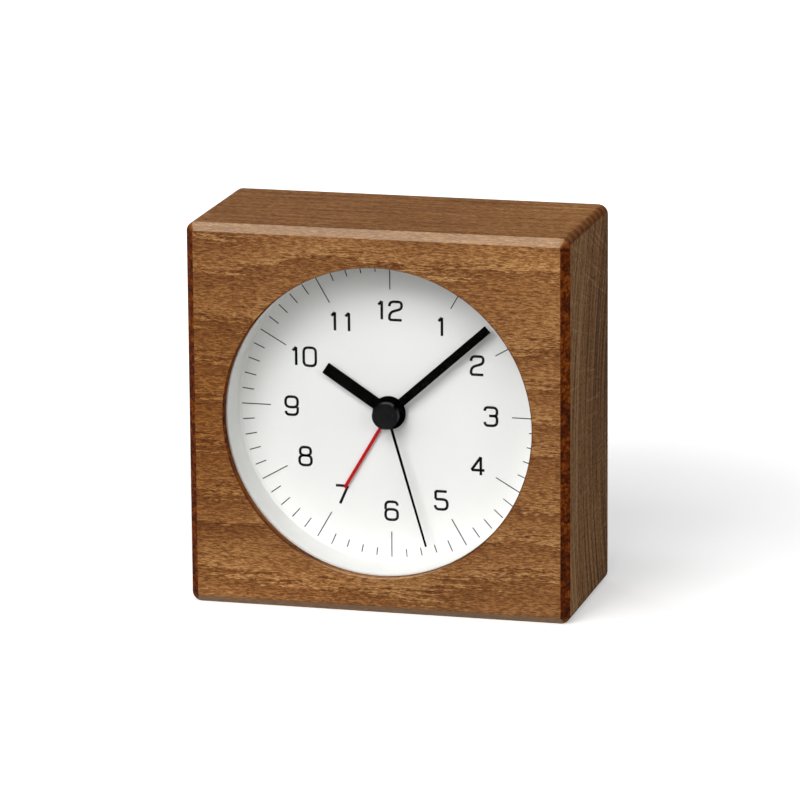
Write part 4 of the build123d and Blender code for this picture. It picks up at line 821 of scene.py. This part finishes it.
class DESKCLOCK_OT_stage(bpy.types.Operator):
    """Set the floor, the lamps, the even light and the photograph's camera"""

    bl_idname = "desk_clock.stage"
    bl_label = "Set the stage"

    def execute(self, context):
        scene = context.scene
        sizes = scene.stage_sizes
        self.add_floor(sizes)
        self.add_light(scene, sizes)
        self.add_camera(scene, sizes)
        scene.view_settings.view_transform = "Standard"
        return {"FINISHED"}

    @staticmethod
    def add_floor(sizes):
        """A white paper floor that keeps the clock's shadow.

        It throws back less light than it shows, and glows where it is seen, less near the clock as painted
        shade."""
        material = new_material("white_paper")
        place = add_node(material, "ShaderNodeTexCoord", output="Object")
        tooth = add_node(material, "ShaderNodeTexNoise", {
            "Vector": place, "Scale": 1 / (1.2 * MM), "Detail": 2.0,
        })
        bump = add_node(material, "ShaderNodeBump", {"Strength": 0.2, "Distance": 0.02 * MM, "Height": tooth})
        seen = seen_rays(material)
        tint = add_node(material, "ShaderNodeMix", {
            0: seen, 6: linear("#8c8c8c"), 7: linear("#f0f0f0"),
        }, 2, data_type="RGBA")
        paper = add_node(material, "ShaderNodeBsdfDiffuse", {"Color": tint, "Normal": bump})
        away = add_node(material, "ShaderNodeVectorMath", (place,), output="Value", operation="LENGTH")
        # The glow is lower close to the clock, as painted shade round its foot
        near, far = 0.16, 0.3
        strength = add_node(material, "ShaderNodeMapRange", (away, near, far, 0.43, 0.7))
        strength = add_node(material, "ShaderNodeMath", (seen, strength), operation="MULTIPLY")
        glow = add_node(material, "ShaderNodeEmission", {"Color": linear("#ffffff"), "Strength": strength})
        surface = add_node(material, "ShaderNodeAddShader", (paper, glow))
        add_node(material, "ShaderNodeOutputMaterial", {"Surface": surface})
        sheet = bmesh.new()
        bmesh.ops.create_grid(sheet, x_segments=1, y_segments=1, size=sizes.floor_size / 2)
        mesh = bpy.data.meshes.new("floor")
        sheet.to_mesh(mesh)
        sheet.free()
        mesh.materials.append(material)
        floor = bpy.data.objects.new("floor", mesh)
        bpy.context.scene.collection.objects.link(floor)

    @staticmethod
    def add_light(scene, sizes):
        """The soft lamps, turned to the clock, and even light from all round."""
        for name, place, side, power in LAMPS:
            lamp = bpy.data.lights.new(name, "AREA")
            lamp.shape = "SQUARE"
            lamp.size = side
            lamp.energy = power * sizes.lamp_light
            lamp_object = bpy.data.objects.new(name, lamp)
            scene.collection.objects.link(lamp_object)
            aim = (Vector(place) - HANDS_AXIS).to_track_quat("Z", "Y")
            lamp_object.matrix_world = Matrix.Translation(place) @ aim.to_matrix().to_4x4()
        world = bpy.data.worlds.new("even_light")
        scene.world = world
        world.use_nodes = True
        world.node_tree.nodes.clear()
        strength = add_node(world, "ShaderNodeMapRange", (seen_rays(world), 0.0, 1.0, sizes.fill, 1.0))
        light = add_node(world, "ShaderNodeBackground", {"Color": linear("#ffffff"), "Strength": strength})
        add_node(world, "ShaderNodeOutputWorld", {"Surface": light})

    @staticmethod
    def add_camera(scene, sizes):
        """The camera that the photograph was taken with, fitted to the block's edges and the dial."""
        camera = bpy.data.cameras.new("camera")
        camera.sensor_width = 36.0
        camera.lens = sizes.camera_lens
        camera.clip_start = 0.05
        camera_object = bpy.data.objects.new("camera", camera)
        scene.collection.objects.link(camera_object)
        upright = Matrix.Rotation(math.radians(90) - sizes.camera_tilt, 4, "X")
        roll = Matrix.Rotation(sizes.camera_roll, 4, "Z")
        turned = Matrix.Rotation(sizes.camera_turn, 4, "Z") @ upright @ roll
        place = Vector((sizes.camera_x, sizes.camera_y, sizes.camera_z))
        camera_object.matrix_world = Matrix.Translation(place) @ turned
        scene.camera = camera_object


class DESKCLOCK_PT_panel(bpy.types.Panel):
    """Lists the steps that finish the clock"""

    bl_idname = "DESKCLOCK_PT_panel"
    bl_label = "Desk Clock"
    bl_space_type = "VIEW_3D"
    bl_region_type = "UI"
    bl_category = "Clock"

    def draw(self, context):
        for step in STEPS:
            self.layout.operator(step.bl_idname)


STEPS = (
    DESKCLOCK_OT_stage,
    DESKCLOCK_OT_finishes,
    DESKCLOCK_OT_numerals,
    DESKCLOCK_OT_marks,
)
CLASSES = (DialPrintSizes, ClockColours, StageSizes, *STEPS, DESKCLOCK_PT_panel)


def register():
    """Register the classes and give the scene its sizes and colours."""
    for made in CLASSES:
        bpy.utils.register_class(made)
    bpy.types.Scene.dial_print_sizes = bpy.props.PointerProperty(type=DialPrintSizes)
    bpy.types.Scene.clock_colours = bpy.props.PointerProperty(type=ClockColours)
    bpy.types.Scene.stage_sizes = bpy.props.PointerProperty(type=StageSizes)


def unregister():
    """Take the sizes, the colours and the classes away again."""
    del bpy.types.Scene.stage_sizes
    del bpy.types.Scene.clock_colours
    del bpy.types.Scene.dial_print_sizes
    for made in reversed(CLASSES):
        bpy.utils.unregister_class(made)


def main():
    """Make every piece in order."""
    register()
    bpy.ops.desk_clock.stage()
    bpy.ops.desk_clock.finishes()
    bpy.ops.desk_clock.numerals()
    bpy.ops.desk_clock.marks()


if __name__ == "__main__":
    main()
